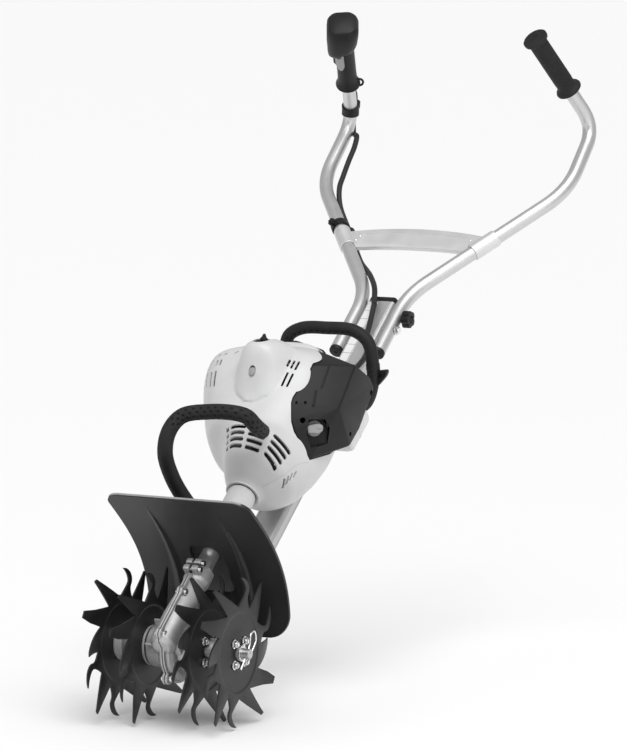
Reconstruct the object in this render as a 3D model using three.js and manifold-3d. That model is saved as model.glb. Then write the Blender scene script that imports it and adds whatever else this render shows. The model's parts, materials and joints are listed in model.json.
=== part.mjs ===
// Mini cultivator: a small engine on a sloping aluminium frame drives four tine stars through a worm gearbox.
// Millimetres. +Z is up, +X is the air filter side, -Y is the working front, +Y is where the operator walks.
import * as THREE from "three";
import { ConvexGeometry } from "three/addons/geometries/ConvexGeometry.js";
import { mergeVertices } from "three/addons/utils/BufferGeometryUtils.js";
import Module from "manifold-3d";

const wasm = await Module();
wasm.setup();

// Driving dimensions.
const TIP_RADIUS = 127;
const FRAME_SLOPE = 37;
const DRIVE_OFFSET = 42;
const GAP = 0.3;
const DISC_THICKNESS = 3;
const OUTER_DISC_X = 102.8;
const INNER_DISC_X = 50.5;
const INNER_DISC_PHASE = 12;
const AXLE_RADIUS = 8;
const AXLE_HALF_LENGTH = 124;
const STUD_CIRCLE = 23;
const DRIVE_TUBE_RADIUS = 14;
const SLEEVE_RADIUS = 23;
const DEFLECTOR_HALF_WIDTH = 124;
const RAIL = { width: 50, depth: 28, front: 49, bottom: 168, top: 850, wall: 3, corner: 6 };
const HANDLE_TUBE = { radius: 12, offset: 55, spacing: 38, bottom: 733.5 };
const PIVOT = { along: 787, radius: 4 };
const CABLE_RADIUS = 5;

const HITCH_X = 117;
const HITCH_TILT = THREE.MathUtils.degToRad(50);

// Finishes.
const finish = (color, roughness, metalness) => new THREE.MeshStandardMaterial({ color, roughness, metalness });
const whitePlastic = finish(0xe9e9e7, 0.45, 0);
const blackPlastic = finish(0x1b1b1c, 0.5, 0);
const blackRubber = finish(0x202021, 0.8, 0);
const greyPlastic = finish(0x9a9a9a, 0.5, 0);
const castAluminium = finish(0xa9a9a6, 0.45, 0.8);
const anodised = finish(0xd6d6d6, 0.3, 0.9);
const steel = finish(0xb4b4b4, 0.3, 1);
const darkPaint = finish(0x3a3a3b, 0.5, 0.4);

// ---- Solids: manifold-3d joins and cuts closed three.js geometries ----

function solid(geometry) {
  const bare = geometry.clone();
  bare.deleteAttribute("normal");
  bare.deleteAttribute("uv");
  const merged = mergeVertices(bare, 1e-4);
  const vertProperties = new Float32Array(merged.attributes.position.array);
  const triVerts = new Uint32Array(merged.index.array);
  return new wasm.Manifold(new wasm.Mesh({ numProp: 3, vertProperties, triVerts }));
}

function surface(manifold) {
  const mesh = manifold.getMesh();
  const geometry = new THREE.BufferGeometry();
  geometry.setAttribute("position", new THREE.BufferAttribute(mesh.vertProperties, 3));
  geometry.setIndex(new THREE.BufferAttribute(mesh.triVerts, 1));
  return geometry;
}

const join = (first, ...rest) => surface(rest.reduce((whole, piece) => whole.add(solid(piece)), solid(first)));
const cut = (first, ...tools) => surface(tools.reduce((whole, tool) => whole.subtract(solid(tool)), solid(first)));
const common = (first, other) => surface(solid(first).intersect(solid(other)));

// ---- Basic shapes ----

/** Turns a shape made about Y so that it lies about X or Z, or about -Y. */
function turnTo(axis, geometry) {
  if (axis === "x") geometry.rotateZ(-Math.PI / 2);
  if (axis === "z") geometry.rotateX(Math.PI / 2);
  if (axis === "-y") geometry.rotateX(Math.PI);
  return geometry;
}

/** A round bar about an axis, from one height on it to another. */
function rod(axis, radius, from, to, sides = 14) {
  const geometry = new THREE.CylinderGeometry(radius, radius, to - from, sides);
  geometry.translate(0, (from + to) / 2, 0);
  return turnTo(axis, geometry);
}

/** A turned solid: the profile is [radius, height] pairs, up the outside and down the inside. */
function turned(axis, profile, sides = 16) {
  const points = profile.map(([radius, height]) => new THREE.Vector2(radius, height));
  return turnTo(axis, new THREE.LatheGeometry(points, sides));
}

/** A ring about an axis: outer and inner radius, from one height to another. */
function ring(axis, outer, inner, from, to, sides = 16) {
  return turned(axis, [[inner, from], [outer, from], [outer, to], [inner, to], [inner, from]], sides);
}

/** A block between two corners. */
function block([x0, y0, z0], [x1, y1, z1]) {
  const geometry = new THREE.BoxGeometry(x1 - x0, y1 - y0, z1 - z0);
  return geometry.translate((x0 + x1) / 2, (y0 + y1) / 2, (z0 + z1) / 2);
}

function roundedRectangle(width, height, radius, into = new THREE.Shape()) {
  const x = width / 2 - radius;
  const y = height / 2 - radius;
  const quarter = Math.PI / 2;
  into.absarc(x, y, radius, 0, quarter);
  into.absarc(-x, y, radius, quarter, 2 * quarter);
  into.absarc(-x, -y, radius, 2 * quarter, 3 * quarter);
  into.absarc(x, -y, radius, 3 * quarter, 4 * quarter);
  into.closePath();
  return into;
}

/** A flat shape pushed along Z from one height to another. */
function slab(shape, from, to, curveSegments = 3) {
  const geometry = new THREE.ExtrudeGeometry(shape, { depth: to - from, bevelEnabled: false, curveSegments });
  return geometry.translate(0, 0, from);
}

function polygonCircle(radius, sides) {
  const corner = (i) => new THREE.Vector2(radius, 0).rotateAround(new THREE.Vector2(), (i / sides) * 2 * Math.PI);
  return new THREE.Shape(Array.from({ length: sides }, (_, i) => corner(i)));
}

/** A round bar along a curve. */
function wire(curve, radius, sides, steps) {
  const shape = polygonCircle(radius, sides);
  return new THREE.ExtrudeGeometry(shape, { steps, bevelEnabled: false, extrudePath: curve });
}

/** A path of straight runs, with each inner corner rounded over the given length. */
function bentPath(corners, easing) {
  const path = new THREE.CurvePath();
  let start = corners[0];
  for (let i = 1; i < corners.length - 1; i++) {
    const before = corners[i].clone().lerp(corners[i - 1], easing[i - 1] / corners[i].distanceTo(corners[i - 1]));
    const after = corners[i].clone().lerp(corners[i + 1], easing[i - 1] / corners[i].distanceTo(corners[i + 1]));
    path.add(new THREE.LineCurve3(start, before));
    path.add(new THREE.QuadraticBezierCurve3(before, corners[i], after));
    start = after;
  }
  path.add(new THREE.LineCurve3(start, corners.at(-1)));
  return path;
}

/** A closed body through rings of points, each ring anticlockwise seen from the next one. */
function skin(rings) {
  const sides = rings[0].length;
  const last = rings.length - 1;
  const middleOf = (ring) => ring.reduce((sum, point) => sum.add(point), new THREE.Vector3()).divideScalar(sides);
  const positions = [...rings.flat(), middleOf(rings[0]), middleOf(rings[last])].flatMap((point) => point.toArray());
  const firstCentre = rings.length * sides;
  const index = [];
  for (let i = 0; i < sides; i++) {
    const next = (i + 1) % sides;
    index.push(firstCentre, next, i);
    index.push(firstCentre + 1, last * sides + i, last * sides + next);
    for (let row = 0; row < last; row++) {
      const a = row * sides + i;
      const b = row * sides + next;
      index.push(a, b, b + sides, a, b + sides, a + sides);
    }
  }
  const geometry = new THREE.BufferGeometry();
  geometry.setAttribute("position", new THREE.Float32BufferAttribute(positions, 3));
  geometry.setIndex(index);
  return geometry;
}

/** A body lofted along Z through superellipse sections about the line x = 0, y = centreY. */
function loft(sections, centreY, sides = 20) {
  const rounded = (value, power) => Math.sign(value) * Math.abs(value) ** (2 / power);
  return skin(sections.map(({ z, left, right, front, back, power }) => Array.from({ length: sides }, (_, i) => {
    const angle = (i / sides) * 2 * Math.PI;
    const x = rounded(Math.cos(angle), power);
    const y = rounded(Math.sin(angle), power);
    return new THREE.Vector3(x * (x < 0 ? left : right), centreY + y * (y < 0 ? front : back), z);
  })));
}

/** A point of the sloping frame: across, along the frame from the axle, and square off its top side. */
const place = (across, along, off) => new THREE.Vector3(across, -off, along);

// ---- Scene graph ----

const cultivator = new THREE.Group();
const upright = new THREE.Group();
upright.position.set(0, 0, TIP_RADIUS);
const sloping = new THREE.Group();
sloping.position.copy(upright.position);
sloping.rotation.x = -THREE.MathUtils.degToRad(90 - FRAME_SLOPE);
cultivator.add(upright, sloping);

function add(parent, name, geometry, material, position = [0, 0, 0]) {
  const mesh = new THREE.Mesh(geometry, material);
  mesh.name = name;
  mesh.position.set(...position);
  parent.add(mesh);
  return mesh;
}

// ---- Frame rail: a hollow rounded box section with an end cap ----

function frameRail() {
  const section = roundedRectangle(RAIL.width, RAIL.depth, RAIL.corner);
  const hollow = [RAIL.width - 2 * RAIL.wall, RAIL.depth - 2 * RAIL.wall, RAIL.corner - RAIL.wall];
  section.holes.push(roundedRectangle(...hollow, new THREE.Path()));
  const tube = slab(section, RAIL.bottom, RAIL.top).translate(0, RAIL.front + RAIL.depth / 2, 0);
  const pivotHole = rod("x", PIVOT.radius + GAP, -RAIL.width, RAIL.width, 12);
  return cut(tube, pivotHole.translate(0, HANDLE_TUBE.offset, PIVOT.along));
}

function frameEndCap() {
  const lid = slab(roundedRectangle(RAIL.width, RAIL.depth, RAIL.corner), RAIL.top + GAP, RAIL.top + 12);
  const inside = 2 * (RAIL.wall + GAP);
  const plug = slab(roundedRectangle(RAIL.width - inside, RAIL.depth - inside, 3), RAIL.top - 14, RAIL.top + 1);
  return join(lid, plug).translate(0, RAIL.front + RAIL.depth / 2, 0);
}

add(sloping, "frame_rail", frameRail(), anodised);
add(sloping, "frame_end_cap", frameEndCap(), blackPlastic);

// ---- Bracket that ties the drive tube and the deflector to the rail ----

function frameBracket() {
  const railFace = RAIL.front - GAP;
  const collar = rod("z", 24, 164, 186).translate(0, -DRIVE_OFFSET, 0);
  const plate = block([-44, -76, 161], [44, 46, 166]);
  const web = block([-9, -DRIVE_OFFSET + 20, 164], [9, railFace, 184]);
  const foot = block([-21, railFace - 7, 170], [21, railFace, 236]);
  const bore = rod("z", DRIVE_TUBE_RADIUS + 2 * GAP, 150, 200, 16).translate(0, -DRIVE_OFFSET, 0);
  return cut(join(collar, plate, web, foot), bore);
}

add(sloping, "frame_bracket", frameBracket(), castAluminium);

// ---- Deflector: a curved plate behind the tines, with rounded corners and a slot for the gearbox neck ----

function deflector() {
  const thickness = 5;
  const topCorner = 25;
  const bottomCorner = 36;
  const steps = 28;
  const curve = new THREE.CubicBezierCurve(
    new THREE.Vector2(-15, 233), new THREE.Vector2(58, 174), new THREE.Vector2(142, 112), new THREE.Vector2(130.5, 1));
  const length = curve.getLength();
  const inset = (corner, distance) => {
    const left = Math.max(corner - distance, 0);
    return corner - Math.sqrt(corner ** 2 - left ** 2);
  };
  const rings = Array.from({ length: steps + 1 }, (_, i) => {
    const share = (1 - Math.cos((i / steps) * Math.PI)) / 2;
    const half = DEFLECTOR_HALF_WIDTH
      - inset(topCorner, share * length) - inset(bottomCorner, (1 - share) * length);
    const middle = curve.getPointAt(share);
    const tangent = curve.getTangentAt(share);
    const corner = (x, side) => {
      const off = (side * thickness) / 2;
      return new THREE.Vector3(x, middle.x + tangent.y * off, middle.y - tangent.x * off);
    };
    return [corner(half, 1), corner(-half, 1), corner(-half, -1), corner(half, -1)];
  });
  const slot = slab(roundedRectangle(56, 84, 20), 60, 240, 4);
  slot.translate(0, -26, 0).rotateX(sloping.rotation.x);
  return cut(skin(rings), slot);
}

add(upright, "deflector", deflector(), blackPlastic);

// ---- Gearbox: two halves that bolt together on the plane x = 0 and clamp the drive tube ----

function gearboxCasting() {
  const drive = (geometry) => geometry.translate(0, -DRIVE_OFFSET, 0);
  const solidBody = join(
    turned("x", [[0, -16], [42, -16], [50, -9], [50, 9], [42, 16], [0, 16]], 20),
    turned("x", [[0, -43.5], [31, -43.5], [33, -41], [33, 41], [31, 43.5], [0, 43.5]]),
    drive(turned("z", [[0, -40], [16, -40], [21, -34], [21, 122], [0, 122]])),
    rod("x", 56, -4, 4, 20),
    block([-4, -DRIVE_OFFSET - 27, -36], [4, -DRIVE_OFFSET + 27, 96]),
    block([-13, -DRIVE_OFFSET - 33, 98], [13, -DRIVE_OFFSET - 14, 107]),
    block([-13, -DRIVE_OFFSET - 33, 111], [13, -DRIVE_OFFSET - 14, 120]),
    ...[[-63, 58], [-60, -28], [10, -56], [52, 22], [-14, 74]].map(([y, z]) => rod("x", 8, -9, 9, 6).translate(0, y, z)),
  );
  return cut(solidBody,
    rod("x", 36, -11, 11, 16),
    rod("x", AXLE_RADIUS + 1.2, -60, 60),
    rod("x", 17.5, -60, -24),
    rod("x", 17.5, 24, 60),
    drive(rod("z", 12.5, -30, 100)),
    drive(rod("z", DRIVE_TUBE_RADIUS + 2 * GAP, 96, 130, 16)),
    block([-1.5, -DRIVE_OFFSET - 40, 97], [1.5, -DRIVE_OFFSET, 130]),
  );
}

const casting = gearboxCasting();
const halfSpace = 200;
const splitFace = GAP / 2;
for (const [name, from, to] of [["left", -halfSpace, -splitFace], ["right", splitFace, halfSpace]]) {
  const half = common(casting, block([from, -halfSpace, -halfSpace], [to, halfSpace, halfSpace]));
  add(sloping, `gearbox_housing_${name}`, half, castAluminium);
}

for (const [name, side] of [["left", -1], ["right", 1]]) {
  const race = ring("x", 16.7, AXLE_RADIUS + GAP, 26, 38);
  add(upright, `axle_bearing_${name}`, race, steel).rotation.y = side < 0 ? Math.PI : 0;
}

// ---- Axle, worm wheel, hubs and tine stars ----

function axleShaft() {
  const shaft = rod("x", AXLE_RADIUS, -AXLE_HALF_LENGTH, AXLE_HALF_LENGTH);
  const pinHole = (x) => rod("y", 2.2, -20, 20, 8).translate(x, 0, 0).rotateX(HITCH_TILT);
  return cut(shaft, pinHole(HITCH_X), pinHole(-HITCH_X));
}

const WORM_WHEEL = { teeth: 40, tip: 31.6, root: 29, half: 8 };

function wormWheel() {
  const outline = Array.from({ length: 2 * WORM_WHEEL.teeth }, (_, i) => {
    const radius = i % 2 ? WORM_WHEEL.tip : WORM_WHEEL.root;
    const angle = (i / WORM_WHEEL.teeth) * Math.PI;
    return new THREE.Vector2(radius * Math.cos(angle), radius * Math.sin(angle));
  });
  const shape = new THREE.Shape(outline);
  shape.holes.push(new THREE.Path().absarc(0, 0, AXLE_RADIUS + 0.5, 0, 2 * Math.PI));
  return slab(shape, -WORM_WHEEL.half, WORM_WHEEL.half, 8).rotateY(Math.PI / 2);
}

const HUB_BORE_INNER = 16.8;
const HUB_BORE_OUTER = 13.2;
const NUT_HEIGHT = 6;

/** A hub for two stars: a flange inside the inner one, a cup inside the outer one, and four studs for each. */
function hub() {
  const half = DISC_THICKNESS / 2 + GAP;
  const innerFace = INNER_DISC_X - half;
  const outerFace = OUTER_DISC_X - half;
  const bore = AXLE_RADIUS + GAP;
  const start = 45.2;
  const end = 108;
  const profile = [
    [bore, start], [31, start], [31, innerFace], [15, innerFace], [15, outerFace - 14], [27.5, outerFace - 14],
    [27.5, outerFace], [12, outerFace], [12, end], [bore, end], [bore, start],
  ];
  const pieces = [turned("x", profile)];
  for (let i = 0; i < 4; i++) {
    const angle = ((i + 0.5) * Math.PI) / 2;
    const stud = (radius, from, to) => {
      const bar = rod("x", radius, from, to, 6);
      return bar.translate(0, STUD_CIRCLE * Math.cos(angle), STUD_CIRCLE * Math.sin(angle));
    };
    for (const face of [innerFace, outerFace]) {
      const nutSeat = face + 2 * half;
      pieces.push(stud(3.5, face - 1, nutSeat + 1), stud(5.8, nutSeat, nutSeat + NUT_HEIGHT));
    }
  }
  return join(...pieces);
}

// A star's teeth over half a turn: [degrees, radius] from each root, and how far the tip is bent sideways.
const HOOK = [[10, 83], [14.5, 95], [10, 106], [3, 116], [9, 114], [16.5, 107], [20.5, 97], [20, 86]];
const TEETH = [
  { root: -1, points: HOOK, bend: 3 },
  { root: 28.5, points: [[10, 127], [12.5, 126]], bend: -3 },
  { root: 57, points: HOOK.map(([angle, radius]) => [angle, radius - 3]), bend: 4 },
  { root: 87, points: [[2.5, 127], [6, 126]], bend: -17 },
  { root: 118, points: [[-2, 98], [-1, 119], [4.6, 119], [12, 96]], bend: 9 },
  { root: 149.5, points: [[-4, 127], [-1, 126]], bend: 5 },
];
const ROOT_RADIUS = 71;

/** Turns a flat shape so that its x runs along Y, its y along Z and its depth along X. */
const uprightPlane = new THREE.Matrix4().set(0, 0, 1, 0, 1, 0, 0, 0, 0, 1, 0, 0, 0, 0, 0, 1);

/** A point of the star: degrees from the top towards the back, and radius. */
function polar(degrees, radius) {
  const turn = THREE.MathUtils.degToRad(degrees);
  return new THREE.Vector2(radius * Math.sin(turn), radius * Math.cos(turn));
}

/** Both halves of a star have the same teeth: each tooth with its own root angle and the next tooth's. */
const ALL_TEETH = [0, 180].flatMap((half) => TEETH.map((tooth, i) => {
  const next = i + 1 < TEETH.length ? TEETH[i + 1].root : TEETH[0].root + 180;
  return { ...tooth, from: half + tooth.root, to: half + next, bend: half ? -tooth.bend : tooth.bend };
}));

function starDisc(phase, bore) {
  const shape = new THREE.Shape(ALL_TEETH.map(({ from }) => polar(phase + from, ROOT_RADIUS)));
  shape.holes.push(new THREE.Path().absarc(0, 0, bore, 0, 2 * Math.PI));
  for (let i = 0; i < 4; i++) {
    const centre = polar(90 * i + 45, STUD_CIRCLE);
    shape.holes.push(new THREE.Path().absarc(centre.x, centre.y, 4.2, 0, 2 * Math.PI));
  }
  return slab(shape, -DISC_THICKNESS / 2, DISC_THICKNESS / 2, 4).applyMatrix4(uprightPlane);
}

/** One tooth, from inside the disc's rim to its tip, which bends sideways more and more. */
function starTooth({ from, to, points, bend }, phase) {
  const inside = ROOT_RADIUS - 7;
  const tip = points.map(([angle, radius]) => polar(phase + from + angle, radius));
  const root = [polar(phase + to, ROOT_RADIUS), polar(phase + to - 1, inside)];
  const shape = new THREE.Shape([polar(phase + from + 1, inside), polar(phase + from, ROOT_RADIUS), ...tip, ...root]);
  const tooth = slab(shape, -DISC_THICKNESS / 2, DISC_THICKNESS / 2).applyMatrix4(uprightPlane);
  const position = tooth.attributes.position;
  for (let i = 0; i < position.count; i++) {
    const radius = Math.hypot(position.getY(i), position.getZ(i));
    const reach = Math.max(0, radius - ROOT_RADIUS - 1) / (TIP_RADIUS - ROOT_RADIUS);
    position.setX(i, position.getX(i) + bend * reach ** 1.5);
  }
  return tooth;
}

function tineStar(phase, bore) {
  return join(starDisc(phase, bore), ...ALL_TEETH.map((tooth) => starTooth(tooth, phase)));
}

/** A sprung clip: one leg goes through the axle end, the other runs round it. */
function hitchPin() {
  const points = [[-28, 0], [14, 0], [30, 7], [40, 0], [32, -13], [12, -13], [-6, -13]];
  const corners = points.map(([y, z]) => new THREE.Vector3(0, y, z));
  return wire(new THREE.CatmullRomCurve3(corners, false, "catmullrom", 0.3), 1.5, 5, 22);
}

add(upright, "axle_shaft", axleShaft(), steel);
add(upright, "worm_wheel", wormWheel(), steel);
for (const [name, side] of [["left", -1], ["right", 1]]) {
  add(upright, `tine_hub_${name}`, hub(), castAluminium).rotation.y = side < 0 ? Math.PI : 0;
  const innerStar = tineStar(side * INNER_DISC_PHASE, HUB_BORE_INNER);
  add(upright, `tine_star_outer_${name}`, tineStar(0, HUB_BORE_OUTER), darkPaint, [side * OUTER_DISC_X, 0, 0]);
  add(upright, `tine_star_inner_${name}`, innerStar, darkPaint, [side * INNER_DISC_X, 0, 0]);
  add(upright, `hitch_pin_${name}`, hitchPin(), steel, [side * HITCH_X, 0, 0]).rotation.x = HITCH_TILT;
}

// ---- Drive: tube, sleeve, worm shaft and clutch drum ----

const driveLine = new THREE.Group();
driveLine.position.y = -DRIVE_OFFSET;
sloping.add(driveLine);

function wormShaft() {
  const shaft = rod("z", 5, -30, 326, 12);
  const worm = turned("z", [[0, -26], [8, -26], [9.8, -22], [9.8, 22], [8, 26], [0, 26]], 14);
  return join(shaft, worm);
}

function clutchDrum() {
  const profile = [
    [5 + GAP, 314], [12, 314], [12, 322], [39, 322], [39, 342], [36, 342], [36, 325], [5 + GAP, 325],
    [5 + GAP, 314],
  ];
  return turned("z", profile);
}

add(driveLine, "drive_tube", ring("z", DRIVE_TUBE_RADIUS, 11, 98, 298), anodised);
add(driveLine, "drive_sleeve", ring("z", SLEEVE_RADIUS, DRIVE_TUBE_RADIUS + GAP, 187, 292), whitePlastic);
add(driveLine, "worm_shaft", wormShaft(), steel);
add(driveLine, "clutch_drum", clutchDrum(), steel);

// ---- Engine: crank train ----

const CYLINDER_ALONG = 437;
const CRANK = { web: 24, throw: 14, pin: 5, journal: 7 };

function crankshaft() {
  const web = (from, to) => rod("z", CRANK.web, from, to);
  const pin = rod("z", CRANK.pin, CYLINDER_ALONG - 8, CYLINDER_ALONG + 8, 10).translate(0, -CRANK.throw, 0);
  const front = rod("z", CRANK.journal, 330, CYLINDER_ALONG - 6, 14);
  const rear = rod("z", CRANK.journal, CYLINDER_ALONG + 6, 524, 14);
  const clutchShoes = rod("z", 34, 328, 340);
  return join(front, rear, pin, clutchShoes, web(CYLINDER_ALONG - 13, CYLINDER_ALONG - 5),
    web(CYLINDER_ALONG + 5, CYLINDER_ALONG + 13));
}

function flywheel() {
  const disc = ring("z", 39, CRANK.journal + GAP, 494, 502);
  const blades = Array.from({ length: 8 }, (_, i) => {
    const blade = block([14, -1.5, 500], [38, 1.5, 516]);
    return blade.rotateZ((i * Math.PI) / 4);
  });
  return join(disc, ...blades);
}

function starterPulley() {
  const profile = [
    [6 + GAP, 530], [30, 530], [30, 532], [26, 534], [30, 536], [30, 538], [6 + GAP, 538], [6 + GAP, 530],
  ];
  return turned("z", profile, 12);
}

function crankcase() {
  const wall = block([-34, -37, 402], [34, 37, 472]);
  const crankRoom = rod("z", 28, 419, 455);
  const shaftBore = rod("z", CRANK.journal + 0.6, 390, 480, 14);
  const cylinderBore = rod("y", 17.3, -60, 0, 20).translate(0, 0, CYLINDER_ALONG);
  return cut(wall, crankRoom, shaftBore, cylinderBore);
}

/** The finned cylinder stands on the crankcase, and its bore is open below. */
function cylinder() {
  const base = 37 + GAP;
  const profile = [[17.4, base], [31, base], [31, base + 6], [24, base + 6]];
  for (let height = base + 15; height < base + 55; height += 12) {
    profile.push([24, height], [31, height], [31, height + 4], [24, height + 4]);
  }
  const top = base + 67;
  profile.push([24, top], [0, top], [0, top - 12], [17.4, top - 12], [17.4, base]);
  return turned("-y", profile, 12).translate(0, 0, CYLINDER_ALONG);
}

function piston() {
  const crown = rod("-y", 16.8, 60, 80);
  const rodStub = rod("-y", 5, 27, 62, 8);
  return join(crown, rodStub).translate(0, 0, CYLINDER_ALONG);
}

add(driveLine, "crankshaft", crankshaft(), steel);
add(driveLine, "flywheel", flywheel(), castAluminium);
add(driveLine, "starter_pulley", starterPulley(), greyPlastic);
add(driveLine, "crankcase", crankcase(), castAluminium);
add(driveLine, "cylinder", cylinder(), castAluminium);
add(driveLine, "piston", piston(), steel);

// ---- Engine: mount, muffler, carburettor, filter, boot ----

add(sloping, "engine_mount", block([-17, 5, 424], [17, RAIL.front - GAP, 454]), castAluminium).position.y = -GAP;
add(sloping, "muffler", block([-90, -112, 412], [-36, -62, 464]), darkPaint);

function carburettor() {
  const flange = rod("x", 14, 35, 60);
  const body = block([40, -16, -16], [60, 16, 16]);
  return join(flange, body).translate(0, -78, CYLINDER_ALONG);
}

add(sloping, "carburettor", carburettor(), castAluminium);
add(sloping, "air_filter", block([66, -96, 450], [86, -44, 514]), greyPlastic);

// ---- Air filter cover: a hollow faceted cap on the +X side ----

const COVER_BASE_X = 62;
const COVER_TOP_X = 129;
const COVER_BASE = [
  [498, 136], [440, 113], [396, 70], [399, 23], [430, 8], [500, 2], [548, 24], [556, 80], [541, 126],
];
const COVER_SHOULDER = [[77, 489, 145], [66.5, 413, 137], [73, 386, 121], [79, 375, 109], [95, 366, 57]];
const COVER_TOP = [[441, 100], [525, 114], [553, 60], [551, 38], [475, 23], [433, 25]];

/** The cover's hull, grown or shrunk about its middle, from one depth to another. */
function coverHull(scale, baseX, topX) {
  const centre = new THREE.Vector2(478, 70);
  const corner = (x) => ([along, off]) => {
    const point = new THREE.Vector2(along, off).sub(centre).multiplyScalar(scale).add(centre);
    return place(x, point.x, point.y);
  };
  const shoulder = COVER_SHOULDER.map(([x, along, off]) => corner(Math.max(x, baseX))([along, off]));
  return new ConvexGeometry([...COVER_BASE.map(corner(baseX)), ...shoulder, ...COVER_TOP.map(corner(topX))]);
}

/** The choke knob turns about a line square to the cover's lower front facet. */
const CHOKE_AXIS = new THREE.Vector3(0.617, -0.55, -0.562).normalize();
const CHOKE_CENTRE = place(99, 402.5, 89.6);

/** Turns a shape made about Z so that it stands on a point along a direction. */
function standAt(geometry, point, direction) {
  const turn = new THREE.Quaternion().setFromUnitVectors(new THREE.Vector3(0, 0, 1), direction);
  return geometry.applyQuaternion(turn).translate(point.x, point.y, point.z);
}

function airFilterCover() {
  const recess = standAt(rod("z", 16, -40, 20), CHOKE_CENTRE, CHOKE_AXIS);
  return cut(coverHull(1, COVER_BASE_X, COVER_TOP_X), coverHull(0.94, COVER_BASE_X - 1, COVER_TOP_X - 3), recess);
}

function chokeKnob() {
  const dial = rod("z", 13, -12, -6, 20);
  const lever = block([-5, -13, -7], [5, 13, 3]);
  return join(dial, lever);
}

add(sloping, "air_filter_cover", airFilterCover(), blackPlastic);
const chokeMesh = add(sloping, "choke_knob", chokeKnob(), greyPlastic, CHOKE_CENTRE.toArray());
chokeMesh.quaternion.setFromUnitVectors(new THREE.Vector3(0, 0, 1), CHOKE_AXIS);

// ---- Engine covers: clutch housing, shroud, starter housing ----

const NOSE = [
  { z: 293, left: 26, right: 26.5, front: 26.5, back: 26.5, power: 2 },
  { z: 299, left: 31, right: 33, front: 33, back: 33, power: 2 },
  { z: 307, left: 40, right: 47, front: 47, back: 46, power: 2 },
  { z: 321, left: 48, right: 69, front: 69, back: 64, power: 2 },
  { z: 335, left: 52, right: 80, front: 80, back: 74, power: 2 },
  { z: 347.5, left: 58, right: 88, front: 88, back: 80, power: 2 },
];

const SHROUD = [
  { z: 348, left: 58, right: 88, front: 88, back: 80, power: 2 },
  { z: 360, left: 74, right: 93, front: 93, back: 79, power: 2.1 },
  { z: 374, left: 91, right: 96, front: 98, back: 78, power: 2.3 },
  { z: 412, left: 108, right: 101, front: 106, back: 70, power: 2.8 },
  { z: 460, left: 124, right: 103, front: 116, back: 49, power: 3.2 },
  { z: 505, left: 128, right: 101, front: 114, back: 48, power: 3.2 },
  { z: 532, left: 121, right: 96, front: 98, back: 47, power: 3 },
  { z: 548, left: 108, right: 90, front: 84, back: 46, power: 2.8 },
];

/** The same sections, moved inwards by a wall and stretched past both ends. */
function shrunk(sections, wall, overrun) {
  return sections.map((section, i) => {
    const end = i === 0 ? -overrun : i === sections.length - 1 ? overrun : 0;
    const { z, left, right, front, back, power } = section;
    return { z: z + end, left: left - wall, right: right - wall, front: front - wall, back: back - wall, power };
  });
}

// The bulge over the cylinder head, about a line BULGE_HEIGHT above the drive line.
const BULGE_HEIGHT = 100;
const BULGE = [
  { z: 398, left: 8, right: 8, front: 2, back: 10, power: 2 },
  { z: 412, left: 25, right: 27, front: 13, back: 20, power: 2 },
  { z: 437, left: 35, right: 38, front: 35, back: 30, power: 2.1 },
  { z: 468, left: 39, right: 43, front: 60, back: 30, power: 2.2 },
  { z: 494, left: 38, right: 43, front: 50, back: 30, power: 2.2 },
  { z: 516, left: 32, right: 36, front: 29, back: 30, power: 2.1 },
  { z: 530, left: 18, right: 20, front: 6, back: 20, power: 2 },
];

/** The nose of the cover, open towards the drive sleeve. */
function clutchHousing() {
  return cut(loft(NOSE, 0), loft(shrunk(NOSE, 3, 1), 0));
}

function engineShroud() {
  const outer = join(loft(SHROUD, 0), loft(BULGE, -BULGE_HEIGHT, 20));
  const hollow = join(loft(shrunk(SHROUD, 3, 1), 0), loft(shrunk(BULGE, 3, 0).slice(1, -1), -BULGE_HEIGHT, 20));
  const coverRoom = coverHull(1.015, COVER_BASE_X - 1, COVER_TOP_X + 20).translate(0, DRIVE_OFFSET, 0);
  const mountHole = block([-18, 20, 423], [18, 110, 455]);
  const bootNotch = block([-12, -175, 474], [12, -126, 520]);
  return cut(outer, hollow, coverRoom, mountHole, bootNotch);
}

const STARTER_HOUSING = [
  { z: 548.6, left: 96, right: 57, front: 80, back: 44, power: 2.8 },
  { z: 572, left: 84, right: 55, front: 70, back: 38, power: 2.6 },
  { z: 588, left: 58, right: 44, front: 50, back: 28, power: 2.4 },
];

function starterHousing() {
  const inner = shrunk(STARTER_HOUSING, 3, 0);
  inner[0].z -= 1;
  inner.at(-1).z -= 3;
  const shell = cut(loft(STARTER_HOUSING, 0, 20), loft(inner, 0, 20));
  return join(shell, rod("z", 6, 527, 587, 14));
}

/** The spark plug boot leans back from the cylinder head and out through the notch in the shroud. */
function plugBoot() {
  const line = new THREE.LineCurve3(new THREE.Vector3(0, -112, 446), new THREE.Vector3(0, -147, 497));
  return wire(line, 6.5, 10, 1);
}

add(driveLine, "clutch_housing", clutchHousing(), whitePlastic);
add(driveLine, "engine_shroud", engineShroud(), whitePlastic);
add(driveLine, "starter_housing", starterHousing(), greyPlastic);
add(driveLine, "spark_plug_boot", plugBoot(), blackRubber);

// ---- Fuel tank and cap ----

const TANK_CAP = { x: -79, along: 520, off: -27 };

function fuelTank() {
  const shell = slab(roundedRectangle(176, 35, 12), 484, 562).translate(9, 27.5, 0);
  const room = slab(roundedRectangle(170, 29, 9), 487, 559).translate(9, 27.5, 0);
  const neck = rod("x", 11, -100, -60).translate(0, -TANK_CAP.off, TANK_CAP.along);
  return cut(shell, room, neck);
}

function fuelCap() {
  const cap = rod("x", 16, -13, -GAP);
  const plug = rod("x", 9.5, -4, 8, 12);
  return join(cap, plug);
}

add(sloping, "fuel_tank", fuelTank(), whitePlastic);
add(sloping, "fuel_cap", fuelCap(), blackPlastic, place(TANK_CAP.x, TANK_CAP.along, TANK_CAP.off).toArray());

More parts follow.
